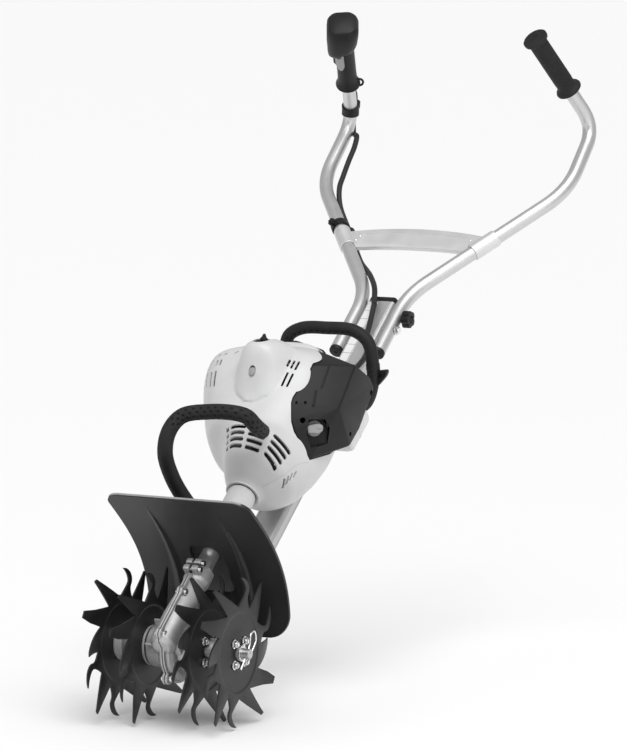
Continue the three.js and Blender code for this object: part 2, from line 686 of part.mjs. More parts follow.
// ---- Starter grip: a T-shaped handle that pulls up and forwards, clear of the rear loop ----

const STARTER_GRIP = place(0, 600, 70);
const GRIP_TILT = -0.38;

function starterGrip() {
  const bar = turned("x", [[0, -30], [7, -29], [9, -20], [8, 0], [9, 20], [7, 29], [0, 30]], 12);
  const stem = rod("-y", 5, -10, 2, 10).rotateX(-0.5);
  return join(bar.rotateZ(-GRIP_TILT), stem);
}

add(sloping, "starter_grip", starterGrip(), blackPlastic, STARTER_GRIP.toArray());

// ---- Carrying loops ----

const loopCurve = (points) => new THREE.CatmullRomCurve3(points.map((point) => place(...point)));

function frontHandle() {
  const curve = loopCurve([
    [-27, 211, 52], [-54, 221, 98], [-66, 228, 140], [-68, 238, 182], [-63, 262, 206], [-48, 287, 215],
    [-6, 300, 215], [36, 303, 213], [52, 308, 202], [56, 314, 180], [51, 329, 154], [46, 340, 139],
  ]);
  const alongDrive = (geometry) => geometry.translate(0, -DRIVE_OFFSET, 0);
  const clampRing = alongDrive(rod("z", 31, 203, 226, 16));
  const sleeveBore = alongDrive(rod("z", SLEEVE_RADIUS + 3 * GAP, 150, 270, 16));
  return cut(join(wire(curve, 12, 8, 34), clampRing), sleeveBore);
}

/** The cable hook stands on the loop's right leg and turns its face forwards. */
const HOOK_TURN = 2.63;

function rearHandle() {
  const curve = loopCurve([
    [-36, 600, -63], [-58, 606, -48], [-70, 622, -15], [-73, 640, 18], [-66, 655, 45], [-40, 661, 59],
    [8, 662, 62], [55, 661, 60], [80, 652, 46], [87, 636, 18], [84, 616, -18], [66, 604, -50], [36, 600, -63],
  ]);
  const hook = new THREE.Shape([[0, -24], [14, -13], [27, 1], [28, 9], [21, 10], [12, 8], [6, 14], [0, 26]].map(
    ([x, y]) => new THREE.Vector2(x, y)));
  const horn = slab(hook, -5, 5).rotateX(HOOK_TURN).translate(85, 4, 625);
  return join(wire(curve, 10.5, 8, 34), horn);
}

add(sloping, "front_handle", frontHandle(), blackPlastic);
add(sloping, "rear_handle", rearHandle(), blackPlastic);

// ---- Handlebar: two bent tubes, crossbar, grips, and the folding pivot ----

const GRIP_CORNER = [233, 1306, -42];
const GRIP_END = [184, 1289, 158];
const GRIP_BEND_RADIUS = 46;

function handleTube(side) {
  const { offset, spacing, bottom } = HANDLE_TUBE;
  const corners = [
    [spacing, bottom, -offset], [spacing, 872, -offset], [234, 1152, -offset], GRIP_CORNER, GRIP_END,
  ].map(([across, along, off]) => place(side * across, along, off));
  const tube = wire(bentPath(corners, [46, 50, GRIP_BEND_RADIUS]), HANDLE_TUBE.radius, 10, 32);
  const pivotHole = rod("x", PIVOT.radius + GAP, -80, 80, 12).translate(0, offset, PIVOT.along);
  return cut(tube, pivotHole);
}

function tubePlug(side) {
  const plug = rod("z", HANDLE_TUBE.radius, HANDLE_TUBE.bottom - 7, HANDLE_TUBE.bottom - GAP, 16);
  return plug.translate(side * HANDLE_TUBE.spacing, HANDLE_TUBE.offset, 0);
}

/** The crossbar: a flat plate between two collars that wrap the tubes. */
function crossbar() {
  const tilt = Math.atan2(234 - HANDLE_TUBE.spacing, 1152 - 872);
  const centreX = 131.5;
  const collar = (side, radius, half) => {
    const bar = rod("z", radius, -half, half, 18).rotateY(side * tilt);
    return bar.translate(side * centreX, HANDLE_TUBE.offset, 1006);
  };
  const outline = new THREE.Shape();
  outline.moveTo(-118, 982);
  outline.quadraticCurveTo(0, 996, 118, 982);
  outline.lineTo(142, 1020);
  outline.quadraticCurveTo(0, 1052, -142, 1020);
  outline.closePath();
  const plate = slab(outline, -5, 5, 8).rotateX(Math.PI / 2).translate(0, HANDLE_TUBE.offset, 0);
  const bores = [-1, 1].map((side) => collar(side, HANDLE_TUBE.radius + 2 * GAP, 90));
  return cut(join(plate, collar(-1, 14.5, 25), collar(1, 14.5, 25)), ...bores);
}

function pivotBolt() {
  const half = HANDLE_TUBE.spacing + HANDLE_TUBE.radius;
  const shank = rod("x", PIVOT.radius, -half - 3, half + 3, 12);
  const head = rod("x", 7, half + 0.6, half + 7, 6);
  const nut = rod("x", 7, -half - 7, -half - 0.6, 6);
  return join(shank, head, nut);
}

/** The star knob clamps the handlebar: five lobes on a short stud. */
function starKnob() {
  const lobes = Array.from({ length: 20 }, (_, i) => {
    const angle = (i / 20) * 2 * Math.PI;
    const radius = 13 + 2 * Math.cos(5 * angle);
    return new THREE.Vector2(radius * Math.cos(angle), radius * Math.sin(angle));
  });
  const knob = slab(new THREE.Shape(lobes), 4, 18).rotateY(Math.PI / 2);
  return join(knob, rod("x", 7, GAP + 0.2, 5, 12));
}

add(sloping, "crossbar", crossbar(), castAluminium);
for (const [name, side] of [["left", -1], ["right", 1]]) {
  add(sloping, `handle_tube_${name}`, handleTube(side), anodised);
  add(sloping, `tube_plug_${name}`, tubePlug(side), blackPlastic);
}
add(sloping, "pivot_bolt", pivotBolt(), steel, [0, HANDLE_TUBE.offset, PIVOT.along]);
const KNOB_X = HANDLE_TUBE.spacing + HANDLE_TUBE.radius;
add(sloping, "star_knob", starKnob(), blackPlastic, [KNOB_X, HANDLE_TUBE.offset, 815]);

// ---- Grips: each lies along the last straight run of its tube ----

/** A group with its Z axis along the grip and its X axis inwards, at a distance past the tube's last corner. */
function gripGroup(side) {
  const corner = place(side * GRIP_CORNER[0], GRIP_CORNER[1], GRIP_CORNER[2]);
  const end = place(side * GRIP_END[0], GRIP_END[1], GRIP_END[2]);
  const along = end.clone().sub(corner).normalize();
  const inward = new THREE.Vector3(-side, 0, 0.35);
  inward.addScaledVector(along, -inward.dot(along)).normalize();
  const third = new THREE.Vector3().crossVectors(along, inward);
  const group = new THREE.Group();
  group.position.copy(corner);
  group.quaternion.setFromRotationMatrix(new THREE.Matrix4().makeBasis(inward, third, along));
  sloping.add(group);
  return group;
}

const rightGrip = gripGroup(1);
const leftGrip = gripGroup(-1);
const LEVER_PIVOT = 178;
const LOCK_TURN = 2.44;
const STOP_BUTTON_TURN = -0.58;
const STOP_BUTTON_LEVEL = 178;
const TUBE_END = place(...GRIP_END).distanceTo(place(...GRIP_CORNER));

function rubberGrip() {
  const bore = HANDLE_TUBE.radius + GAP;
  const end = TUBE_END + 10;
  const profile = [
    [bore, 91], [22, 91], [23, 95], [20, 100], [16, 105], [16.5, 140], [16, end - 12], [20, end - 6],
    [22, end - 2], [21, end], [0, end], [0, TUBE_END + 1], [bore, TUBE_END + 1], [bore, 91],
  ];
  return turned("z", profile, 16);
}

/** The control handle: a grip body with a base flange and a hooded head over the tube's end. */
function controlHandle() {
  const grip = turned("z", [[0, 92], [21, 92], [21, 100], [17, 110], [17, 194], [0, 194]], 16);
  const levels = [[186, 36, 40, 0.4], [199, 48, 54, 0.4], [232, 56, 62, 0.1], [251, 46, 52, 0]];
  const head = skin(levels.map(([level, width, depth, tilt]) =>
    roundedRectangle(width, depth, 14).extractPoints(4).shape.slice(0, -1)
      .map(({ x, y }) => new THREE.Vector3(x + 1, y - 3, level + tilt * x))));
  const bore = rod("z", HANDLE_TUBE.radius + GAP, 80, TUBE_END + 1, 20);
  const triggerSlot = block([-5, 13, LEVER_PIVOT - 58], [5, 40, LEVER_PIVOT + 4]);
  const lockSlot = block([-40, -4.5, LEVER_PIVOT - 50], [-13, 4.5, LEVER_PIVOT + 2]).rotateZ(LOCK_TURN - Math.PI);
  const buttonWell = rod("y", 4.3, -30, -10, 12).translate(0, 0, STOP_BUTTON_LEVEL).rotateZ(STOP_BUTTON_TURN);
  return cut(join(grip, head), bore, triggerSlot, lockSlot, buttonWell);
}

/** A lever hinged near the head, on its own pivot line along Y. */
function lever(reach, length, width) {
  const shape = new THREE.Shape();
  shape.moveTo(-1.5, 2);
  shape.quadraticCurveTo(reach * 1.3, -length * 0.35, reach, -length);
  shape.lineTo(reach - 5, -length);
  shape.quadraticCurveTo(reach * 0.4, -length * 0.4, -1.5, -6);
  shape.closePath();
  return slab(shape, -width / 2, width / 2, 6).rotateX(Math.PI / 2);
}

function stopButton() {
  return turned("-y", [[0, 0], [3.5, 0], [3.5, 6], [2.5, 7], [0, 7]], 14);
}

add(rightGrip, "grip_right", rubberGrip(), blackRubber);
add(leftGrip, "control_handle", controlHandle(), blackPlastic);
add(leftGrip, "throttle_trigger", lever(14, 54, 8), blackPlastic, [0, 16.5, LEVER_PIVOT]).rotation.z = Math.PI / 2;
const gripAxis = new THREE.Vector3(0, 0, 1);
const lockSeat = new THREE.Vector3(16.5, 0, LEVER_PIVOT - 2).applyAxisAngle(gripAxis, LOCK_TURN);
add(leftGrip, "throttle_lock", lever(10, 44, 7), blackPlastic, lockSeat.toArray()).rotation.z = LOCK_TURN;
const buttonSeat = new THREE.Vector3(0, -15, STOP_BUTTON_LEVEL).applyAxisAngle(gripAxis, STOP_BUTTON_TURN);
add(leftGrip, "stop_button", stopButton(), greyPlastic, buttonSeat.toArray()).rotation.z = STOP_BUTTON_TURN;

// ---- Cable clips and throttle cable ----

const bend = place(-234, 1152, -HANDLE_TUBE.offset);
const lowerRun = bend.clone().sub(place(-HANDLE_TUBE.spacing, 872, -HANDLE_TUBE.offset)).normalize();
const corner = place(-GRIP_CORNER[0], GRIP_CORNER[1], GRIP_CORNER[2]);
const upperRun = corner.clone().sub(bend).normalize();
const gripRun = place(-GRIP_END[0], GRIP_END[1], GRIP_END[2]).sub(corner).normalize();
const SADDLE_REACH = 24;

/** Where a clip sits on the left tube, and which way its saddle points. */
function clipPlace(run, distance, towards) {
  const centre = bend.clone().addScaledVector(run, distance);
  const across = towards.clone().addScaledVector(run, -towards.dot(run)).normalize();
  const seat = centre.clone().addScaledVector(across, SADDLE_REACH);
  return { run, centre, across, seat, half: 7, play: 0 };
}

/** A point on a line at a distance outside the tube's last bend; angle 0 is where the grip's run starts. */
function roundTheBend(angle, outside) {
  const radius = GRIP_BEND_RADIUS + outside;
  return corner.clone()
    .addScaledVector(gripRun, GRIP_BEND_RADIUS - radius * Math.sin(angle))
    .addScaledVector(upperRun, radius * Math.cos(angle) - GRIP_BEND_RADIUS);
}

const middleClip = clipPlace(lowerRun, -140, new THREE.Vector3(1, 1.3, 0));
const TOP_CLIP_ANGLE = 0.35;
const topClip = {
  run: gripRun.clone().multiplyScalar(Math.cos(TOP_CLIP_ANGLE)).addScaledVector(upperRun, Math.sin(TOP_CLIP_ANGLE)),
  centre: roundTheBend(TOP_CLIP_ANGLE, 0),
  across: roundTheBend(TOP_CLIP_ANGLE, SADDLE_REACH).sub(roundTheBend(TOP_CLIP_ANGLE, 0)).normalize(),
  seat: roundTheBend(TOP_CLIP_ANGLE, SADDLE_REACH),
  half: 9,
  play: 2.2,
};

/** A clip round the left tube with a small saddle for the cable. */
function cableClip({ run, centre, across, half, play }) {
  const band = rod("z", 15.5 + play, -half, half);
  const saddle = rod("z", 9.5, -6, 6, 12).translate(SADDLE_REACH, 0, 0);
  const tubeBore = rod("z", HANDLE_TUBE.radius + GAP + play, -20, 20);
  const cableBore = rod("z", CABLE_RADIUS + 1, -20, 20, 12).translate(SADDLE_REACH, 0, 0);
  const turn = new THREE.Matrix4().makeBasis(across, new THREE.Vector3().crossVectors(run, across), run);
  const clip = cut(join(band, saddle), tubeBore, cableBore);
  return clip.applyMatrix4(turn).translate(centre.x, centre.y, centre.z);
}

add(sloping, "cable_clip_middle", cableClip(middleClip), blackPlastic);
add(sloping, "cable_clip_top", cableClip(topClip), blackPlastic);

/** The upper cable runs round the outside of the bend, beside the tube to the middle clip, then to the pivot. */
function upperCable() {
  const { seat } = middleClip;
  leftGrip.updateMatrix();
  const byGrip = (y, z) => new THREE.Vector3(0, y, z).applyMatrix4(leftGrip.matrix);
  const besideTube = (distance, inwards) => bend.clone()
    .addScaledVector(upperRun, distance)
    .add(new THREE.Vector3(inwards, 0, 0));
  const points = [
    byGrip(17.6, 89.5), byGrip(17.6, 76), roundTheBend(-0.05, SADDLE_REACH - 1), topClip.seat,
    roundTheBend(0.72, SADDLE_REACH), roundTheBend(1.1, SADDLE_REACH).add(new THREE.Vector3(7, 0, 0)),
    besideTube(115, 24), besideTube(90, 29), besideTube(55, 30), besideTube(20, 30), besideTube(-5, 29),
    place(-187, 1116, -61), seat.clone().addScaledVector(lowerRun, 22), seat, seat.clone().addScaledVector(lowerRun, -18),
    place(-110, 995, -80), place(-92, 970, -76), place(-68, 942, -66), place(-42, 908, -48), place(-16, 868, -37),
    place(0, 826, -36),
  ];
  return wire(new THREE.CatmullRomCurve3(points), CABLE_RADIUS, 8, 40);
}

function lowerCable() {
  const curve = loopCurve([
    [0, 825, -36], [9, 787, -35], [22, 742, -28], [42, 702, -16], [58, 664, 0], [66, 622, 18], [70, 590, 34],
    [72, 561, 44],
  ]);
  return wire(curve, CABLE_RADIUS, 8, 16);
}

add(sloping, "throttle_cable_upper", upperCable(), blackRubber);
add(sloping, "throttle_cable_lower", lowerCable(), blackRubber);

// ---- The origin: on the ground, under the middle of the whole machine ----

cultivator.updateMatrixWorld(true);
const extent = new THREE.Box3().setFromObject(cultivator, true);
const middle = extent.getCenter(new THREE.Vector3());
cultivator.position.set(-middle.x, -middle.y, -extent.min.z);

export default cultivator;
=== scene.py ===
"""The looks of a mini cultivator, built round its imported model.

Shapes are made in millimetres, in the same groups as the CAD: upright about the axle, sloping along the
frame, and drive, which runs along the drive tube. A shape gets its final place when it becomes a piece.
"""
import json
from math import atan2, copysign, cos, pi, radians, sin, sqrt

import bmesh
import bpy
from mathutils import Matrix, Vector
from mathutils.geometry import delaunay_2d_cdt

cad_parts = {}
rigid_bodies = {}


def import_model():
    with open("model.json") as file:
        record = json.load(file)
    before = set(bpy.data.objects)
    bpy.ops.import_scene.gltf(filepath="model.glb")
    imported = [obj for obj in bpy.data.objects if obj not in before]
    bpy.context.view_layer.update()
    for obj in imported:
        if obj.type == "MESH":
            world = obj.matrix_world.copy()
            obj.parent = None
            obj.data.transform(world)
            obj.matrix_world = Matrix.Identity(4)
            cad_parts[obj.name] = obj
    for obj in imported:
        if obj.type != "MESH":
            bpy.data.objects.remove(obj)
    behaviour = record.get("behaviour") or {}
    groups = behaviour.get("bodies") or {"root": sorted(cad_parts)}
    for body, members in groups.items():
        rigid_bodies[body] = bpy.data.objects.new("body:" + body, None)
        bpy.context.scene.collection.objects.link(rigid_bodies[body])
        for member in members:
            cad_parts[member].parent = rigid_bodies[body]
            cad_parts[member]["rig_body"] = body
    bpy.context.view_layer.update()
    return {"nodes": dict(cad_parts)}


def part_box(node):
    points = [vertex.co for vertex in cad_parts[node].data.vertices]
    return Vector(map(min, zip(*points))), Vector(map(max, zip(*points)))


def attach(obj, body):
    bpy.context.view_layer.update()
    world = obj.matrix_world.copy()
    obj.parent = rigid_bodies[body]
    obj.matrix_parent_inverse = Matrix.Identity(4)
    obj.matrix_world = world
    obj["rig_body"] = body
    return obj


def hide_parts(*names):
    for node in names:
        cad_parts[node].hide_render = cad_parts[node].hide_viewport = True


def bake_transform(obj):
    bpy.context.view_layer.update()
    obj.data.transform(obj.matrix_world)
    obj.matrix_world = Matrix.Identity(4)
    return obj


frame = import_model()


def to_scene(thing):
    bpy.context.scene.collection.objects.link(thing)


def put(x, y, z):
    return Matrix.Translation((x, y, z))


def spin(angle, axis):
    return Matrix.Rotation(angle, 4, axis)


def even_turns(count):
    """The angles of evenly spaced places round a circle."""
    return [2 * pi * i / count for i in range(count)]

# ---- Camera ----

axle_low, axle_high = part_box("axle_shaft")
AXLE = (Vector(axle_low) + Vector(axle_high)) / 2
CAMERA_PLACE = AXLE + Vector((2.9269, -5.3175, 1.1356))
CAMERA_AZIMUTH = radians(26.88)
CAMERA_ELEVATION = radians(6.72)
LENS_MM = 192


def make_camera():
    level = cos(CAMERA_ELEVATION)
    forward = Vector((-sin(CAMERA_AZIMUTH) * level, cos(CAMERA_AZIMUTH) * level, -sin(CAMERA_ELEVATION)))
    camera = bpy.data.objects.new("camera", bpy.data.cameras.new("camera"))
    camera.data.lens = LENS_MM
    camera.data.clip_end = 200
    camera.location = CAMERA_PLACE
    camera.rotation_mode = "QUATERNION"
    camera.rotation_quaternion = forward.to_track_quat("-Z", "Y")
    to_scene(camera)
    bpy.context.scene.camera = camera


make_camera()

# ---- Driving dimensions, in millimetres, as in the CAD ----

MM = 0.001
FRAME_SLOPE = radians(37)
DRIVE_OFFSET = 42
ROOT_RADIUS = 71
TIP_RADIUS = 127
OUTER_DISC_X = 102.8
INNER_DISC_X = 50.5
INNER_DISC_PHASE = 12
AXLE_RADIUS = 8
AXLE_HALF_LENGTH = 124
STUD_CIRCLE = 23
RAIL_WIDTH, RAIL_DEPTH, RAIL_FRONT, RAIL_BOTTOM, RAIL_TOP = 50, 28, 49, 168, 850
TUBE_RADIUS = 12
TUBE_OFFSET = 55
TUBE_SPACING = 38
TUBE_BOTTOM = 733.5
PIVOT_ALONG = 787
CYLINDER_ALONG = 437

UPRIGHT = Matrix.Translation(AXLE) @ Matrix.Scale(MM, 4)
SLOPING = UPRIGHT @ spin(FRAME_SLOPE - pi / 2, "X")
DRIVE = SLOPING @ put(0, -DRIVE_OFFSET, 0)
MIRROR = {-1: spin(pi, "Y"), 1: Matrix.Identity(4)}


def place(across, along, off):
    """A point of the sloping group: across, along the frame from the axle, and square off its top side."""
    return Vector((across, -off, along))


# ---- Meshes ----


def mesh_of(verts, faces):
    """A closed mesh with its faces turned outwards."""
    mesh = bpy.data.meshes.new("shape")
    mesh.from_pydata([tuple(v) for v in verts], [], [tuple(f) for f in faces])
    edit = bmesh.new()
    edit.from_mesh(mesh)
    bmesh.ops.recalc_face_normals(edit, faces=edit.faces)
    edit.to_mesh(mesh)
    edit.free()
    return mesh


def moved(mesh, *matrices):
    for matrix in matrices:
        mesh.transform(matrix)
    return mesh


def shifted(mesh, x=0, y=0, z=0):
    return moved(mesh, put(x, y, z))


def skin(rings, loop=False):
    """A body through rings of equally many points, capped at both ends or joined into a loop."""
    count = len(rings[0])
    verts = [point for ring in rings for point in ring]
    pairs = list(zip(range(len(rings)), range(1, len(rings))))
    if loop:
        pairs.append((len(rings) - 1, 0))
    faces = []
    for a, b in pairs:
        for i in range(count):
            j = (i + 1) % count
            faces.append((a * count + i, a * count + j, b * count + j, b * count + i))
    if not loop:
        faces.append(range(count))
        faces.append(range(len(verts) - count, len(verts)))
    return mesh_of(verts, faces)


def with_modifier(mesh, kind, tools=(), **settings):
    """The mesh after one modifier, or after one for each tool."""
    target = bpy.data.objects.new("target", mesh)
    to_scene(target)
    others = []
    for tool in tools or [None]:
        modifier = target.modifiers.new("step", kind)
        for name, value in settings.items():
            setattr(modifier, name, value)
        if tool is not None:
            others.append(bpy.data.objects.new("tool", tool))
            to_scene(others[-1])
            modifier.object = others[-1]
    bpy.context.view_layer.update()
    result = bpy.data.meshes.new_from_object(target.evaluated_get(bpy.context.evaluated_depsgraph_get()))
    for loose in (target, *others):
        bpy.data.objects.remove(loose)
    return result


def cut(mesh, *tools):
    return with_modifier(mesh, "BOOLEAN", tools, operation="DIFFERENCE", solver="MANIFOLD")


def join(mesh, *tools):
    return with_modifier(mesh, "BOOLEAN", tools, operation="UNION", solver="MANIFOLD")


def common(mesh, tool):
    return with_modifier(mesh, "BOOLEAN", [tool], operation="INTERSECT", solver="MANIFOLD")


def bevelled(mesh, width, segments=2, angle=35):
    limit = radians(angle)
    return with_modifier(mesh, "BEVEL", width=width, segments=segments, limit_method="ANGLE",
                         angle_limit=limit)


def cast(mesh, voxel, smoothing):
    """One rounded skin over a body, as a casting has."""
    blocky = with_modifier(mesh, "REMESH", mode="VOXEL", voxel_size=voxel)
    return with_modifier(blocky, "SMOOTH", factor=0.5, iterations=smoothing)


# ---- Basic shapes ----

TURN_TO = {
    "z": Matrix.Identity(4),
    "x": spin(pi / 2, "Y"),
    "-y": spin(pi / 2, "X"),
}


def circle(radius, sides, centre=(0, 0)):
    return [(centre[0] + radius * cos(turn), centre[1] + radius * sin(turn)) for turn in even_turns(sides)]


def softened(corners, radius, steps=3, closed=True):
    """An outline whose corners are rounded over a length."""
    corners = [Vector(corner) for corner in corners]
    outline = []
    for i, corner in enumerate(corners):
        if not closed and i in (0, len(corners) - 1):
            outline.append(corner)
            continue
        to_last = corners[i - 1] - corner
        to_next = corners[(i + 1) % len(corners)] - corner
        start = corner + to_last.normalized() * min(radius, 0.45 * to_last.length)
        end = corner + to_next.normalized() * min(radius, 0.45 * to_next.length)
        for step in range(steps + 1):
            t = step / steps
            outline.append(start * (1 - t) ** 2 + corner * 2 * t * (1 - t) + end * t**2)
    return outline


def rounded_rectangle(width, height, radius, steps=6):
    x, y = width / 2, height / 2
    outline = []
    for quarter, (sx, sy) in enumerate(((1, 1), (-1, 1), (-1, -1), (1, -1))):
        for step in range(steps + 1):
            turn = (quarter + step / steps) * pi / 2
            outline.append((sx * (x - radius) + radius * cos(turn), sy * (y - radius) + radius * sin(turn)))
    return outline


def prism(outline, low, high):
    """A flat outline pushed along Z."""
    return skin([[Vector((x, y, level)) for x, y in outline] for level in (low, high)])


def block(low, high):
    (x0, y0, z0), (x1, y1, z1) = low, high
    return prism([(x0, y0), (x1, y0), (x1, y1), (x0, y1)], z0, z1)


def turned(axis, profile, sides=72, edge=0.0):
    """A turned solid. The profile is (radius, height) pairs: a closed ring, or from the axis to the axis."""
    ring = profile[0] == profile[-1]
    corners = profile[:-1] if ring else profile
    if edge:
        corners = softened(corners, edge, closed=ring)
    rows = []
    for radius, height in corners:
        rows.append([Vector((x, y, height)) for x, y in circle(max(radius, 0.05), sides)])
    return moved(skin(rows, loop=ring), TURN_TO[axis])


def rod(axis, radius, low, high, sides=48, edge=0.0):
    return turned(axis, [(0, low), (radius, low), (radius, high), (0, high)], sides, edge)


def ring(axis, outer, inner, low, high, sides=72, edge=0.0):
    profile = [(inner, low), (outer, low), (outer, high), (inner, high), (inner, low)]
    return turned(axis, profile, sides, edge)


def lengths_along(points):
    total = [0.0]
    for a, b in zip(points, points[1:]):
        total.append(total[-1] + (b - a).length)
    return total


def resampled(points, steps):
    """The same line as evenly spaced points."""
    total = lengths_along(points)
    result, k = [], 0
    for i in range(steps + 1):
        want = total[-1] * i / steps
        while k < len(total) - 2 and total[k + 1] < want:
            k += 1
        share = (want - total[k]) / max(total[k + 1] - total[k], 1e-9)
        result.append(points[k].lerp(points[k + 1], min(max(share, 0), 1)))
    return result


def spline(corners, steps):
    """A smooth curve through the corners, as evenly spaced points."""
    corners = [Vector(corner) for corner in corners]
    held = [2 * corners[0] - corners[1], *corners, 2 * corners[-1] - corners[-2]]
    points = []
    for p0, p1, p2, p3 in zip(held, held[1:], held[2:], held[3:]):
        d0, d1, d2 = (sqrt((b - a).length) for a, b in ((p0, p1), (p1, p2), (p2, p3)))
        leave = ((p1 - p0) / d0 - (p2 - p0) / (d0 + d1) + (p2 - p1) / d1) * d1
        arrive = ((p2 - p1) / d1 - (p3 - p1) / (d1 + d2) + (p3 - p2) / d2) * d1
        for step in range(16):
            t = step / 16
            hermite = (2 * t**3 - 3 * t**2 + 1, t**3 - 2 * t**2 + t, 3 * t**2 - 2 * t**3, t**3 - t**2)
            points.append(p1 * hermite[0] + leave * hermite[1] + p2 * hermite[2] + arrive * hermite[3])
    return resampled([*points, corners[-1]], steps)


def bent_path(corners, easing, steps):
    """Straight runs with each inner corner rounded over the given length."""
    points = [corners[0]]
    for last, corner, following, ease in zip(corners, corners[1:], corners[2:], easing):
        start = corner + (last - corner).normalized() * ease
        end = corner + (following - corner).normalized() * ease
        for step in range(17):
            t = step / 16
            points.append(start * (1 - t) ** 2 + corner * 2 * t * (1 - t) + end * t**2)
    return resampled([*points, corners[-1]], steps)


def sweep(path, radius, sides=24, cap=0.0, first_side=(0, 0, 1)):
    """A bar along a path. radius is a number, or a function of the length along it, the way out and the way
    ahead."""
    total = lengths_along(path)
    forward = [(b - a).normalized() for a, b in zip(path, path[1:])]
    forward.append(forward[-1])
    side = Vector(first_side)
    rings = []
    for point, along, ahead in zip(path, total, forward):
        side = (side - ahead * side.dot(ahead)).normalized()
        other = ahead.cross(side)
        for shrink in cap_steps(along, total[-1], cap):
            points = []
            for x, y in circle(1, sides):
                out = side * x + other * y
                reach = radius(along, out, ahead) if callable(radius) else radius
                points.append(point + ahead * shrink[1] + out * reach * shrink[0])
            rings.append(points)
    return skin(rings)


def cap_steps(along, length, cap):
    """How a ring is repeated at a rounded end: its scale, and its shift along the path."""
    if cap and along in (0, length):
        turns = [radians(angle) for angle in (10, 35, 62, 90)]
        steps = [(sin(turn), -cap * cos(turn)) for turn in turns]
        return steps if along == 0 else [(scale, -shift) for scale, shift in reversed(steps)]
    return [(1, 0)]


def stand_at(mesh, point, direction):
    """A shape made about Z, stood on a point along a direction."""
    turn = Vector((0, 0, 1)).rotation_difference(Vector(direction))
    return moved(mesh, turn.to_matrix().to_4x4(), Matrix.Translation(point))


def hull(points):
    edit = bmesh.new()
    for point in points:
        edit.verts.new(point)
    bmesh.ops.convex_hull(edit, input=edit.verts)
    loose = [v for v in edit.verts if not v.link_faces]
    bmesh.ops.delete(edit, geom=loose, context="VERTS")
    bmesh.ops.dissolve_limit(edit, angle_limit=0.02, verts=edit.verts, edges=edit.edges)
    bmesh.ops.recalc_face_normals(edit, faces=edit.faces)
    mesh = bpy.data.meshes.new("shape")
    edit.to_mesh(mesh)
    edit.free()
    return mesh


def all_in_one(meshes):
    """Separate shapes of one finish, kept in one mesh."""
    verts, faces = [], []
    for mesh in meshes:
        first = len(verts)
        verts += [v.co.copy() for v in mesh.vertices]
        faces += [tuple(first + i for i in polygon.vertices) for polygon in mesh.polygons]
    return mesh_of(verts, faces)


def dressed(name, mesh, material):
    """The mesh as a smooth object of one material."""
    mesh.name = name
    mesh.shade_smooth()
    mesh.materials.clear()
    mesh.materials.append(material)
    made = bpy.data.objects.new(name, mesh)
    to_scene(made)
    return made


def piece(name, mesh, space, material, node, stands_for=True, sharp=32):
    """A finished piece: it rides on the node's body and, unless told otherwise, is shown in its place."""
    made = dressed(name, moved(mesh, space), material)
    made.data.set_sharp_from_angle(angle=radians(sharp))
    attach(made, frame["nodes"][node]["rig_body"])
    if stands_for:
        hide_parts(node)
    return made


def detail(name, mesh, space, material, node):
    """A piece that adds to a node's looks without standing for it."""
    piece(name, mesh, space, material, node, stands_for=False)


# ---- Materials ----

# Painted shade in hollows: how far the ambient occlusion looks, and how dark the shaded colour gets.
SHADE_REACH, SHADE_TONE = 0.006, 0.12
POLISH_SPREAD = 0.07
RELIEF_HEIGHT = 0.0004


def material(name, slot, colour, roughness, metallic=0.0, variation=0.08, grain=0.0006, relief=0.05,
             blotch=0.03, stretch=None, crevice_shade=0.0, coat=0.0, specular=0.5):
    """A moulded, cast or painted surface: patches of tone, grain with relief, and painted shade that darkens
    each hollow and corner.

    grain and blotch are feature sizes in metres. stretch turns the grain into brushed lines along the frame.
    """
    made = bpy.data.materials.new(name)
    made["slot"] = slot
    made.use_nodes = True
    nodes, links = made.node_tree.nodes, made.node_tree.links

    def add(kind, **values):
        node = nodes.new(f"ShaderNode{kind}")
        for key, value in values.items():
            node.inputs[key.replace("_", " ")].default_value = value
        return node

    shader = nodes["Principled BSDF"]
    for key, value in (("Metallic", metallic), ("Coat Weight", coat), ("Coat Roughness", 0.15),
                       ("Specular IOR Level", specular)):
        shader.inputs[key].default_value = value
    where = nodes.new("ShaderNodeTexCoord").outputs["Object"]

    patches = add("TexNoise", Scale=1 / blotch, Detail=5)
    links.new(where, patches.inputs["Vector"])
    tone = add("ValToRGB")
    for element, position, way in zip(tone.color_ramp.elements, (0.3, 0.7), (-1, 1)):
        element.position = position
        element.color = [*(min(c * (1 + way * variation), 1) for c in colour), 1]
    links.new(patches.outputs["Fac"], tone.inputs["Fac"])
    surface = tone.outputs["Color"]
    # Painted shade: ambient occlusion darkens the base colour in hollows and corners, where shade falls.
    if crevice_shade:
        shade = add("AmbientOcclusion", Distance=SHADE_REACH)
        shade.samples = 4
        spread = add("MapRange", From_Min=0.3, From_Max=0.9, To_Min=1 - crevice_shade, To_Max=1)
        dark = add("MixRGB", Color1=[*(c * SHADE_TONE for c in colour), 1])
        links.new(shade.outputs["AO"], spread.inputs["Value"])
        links.new(spread.outputs["Result"], dark.inputs["Fac"])
        links.new(surface, dark.inputs["Color2"])
        surface = dark.outputs["Color"]
    links.new(surface, shader.inputs["Base Color"])

    polish = add("MapRange", To_Min=roughness - POLISH_SPREAD, To_Max=roughness + POLISH_SPREAD)
    links.new(patches.outputs["Fac"], polish.inputs["Value"])
    links.new(polish.outputs["Result"], shader.inputs["Roughness"])

    lines = add("TexNoise", Scale=1 / grain, Detail=3)
    if stretch:
        brushed = nodes.new("ShaderNodeMapping")
        brushed.vector_type = "TEXTURE"
        brushed.inputs["Rotation"].default_value = stretch[:3]
        brushed.inputs["Scale"].default_value = (1, 1, stretch[3])
        links.new(where, brushed.inputs["Vector"])
        where = brushed.outputs["Vector"]
    links.new(where, lines.inputs["Vector"])
    bump = add("Bump", Strength=relief, Distance=RELIEF_HEIGHT)
    links.new(lines.outputs["Fac"], bump.inputs["Height"])
    links.new(bump.outputs["Normal"], shader.inputs["Normal"])
    return made


def grey(level):
    return (level, level, level * 1.01)


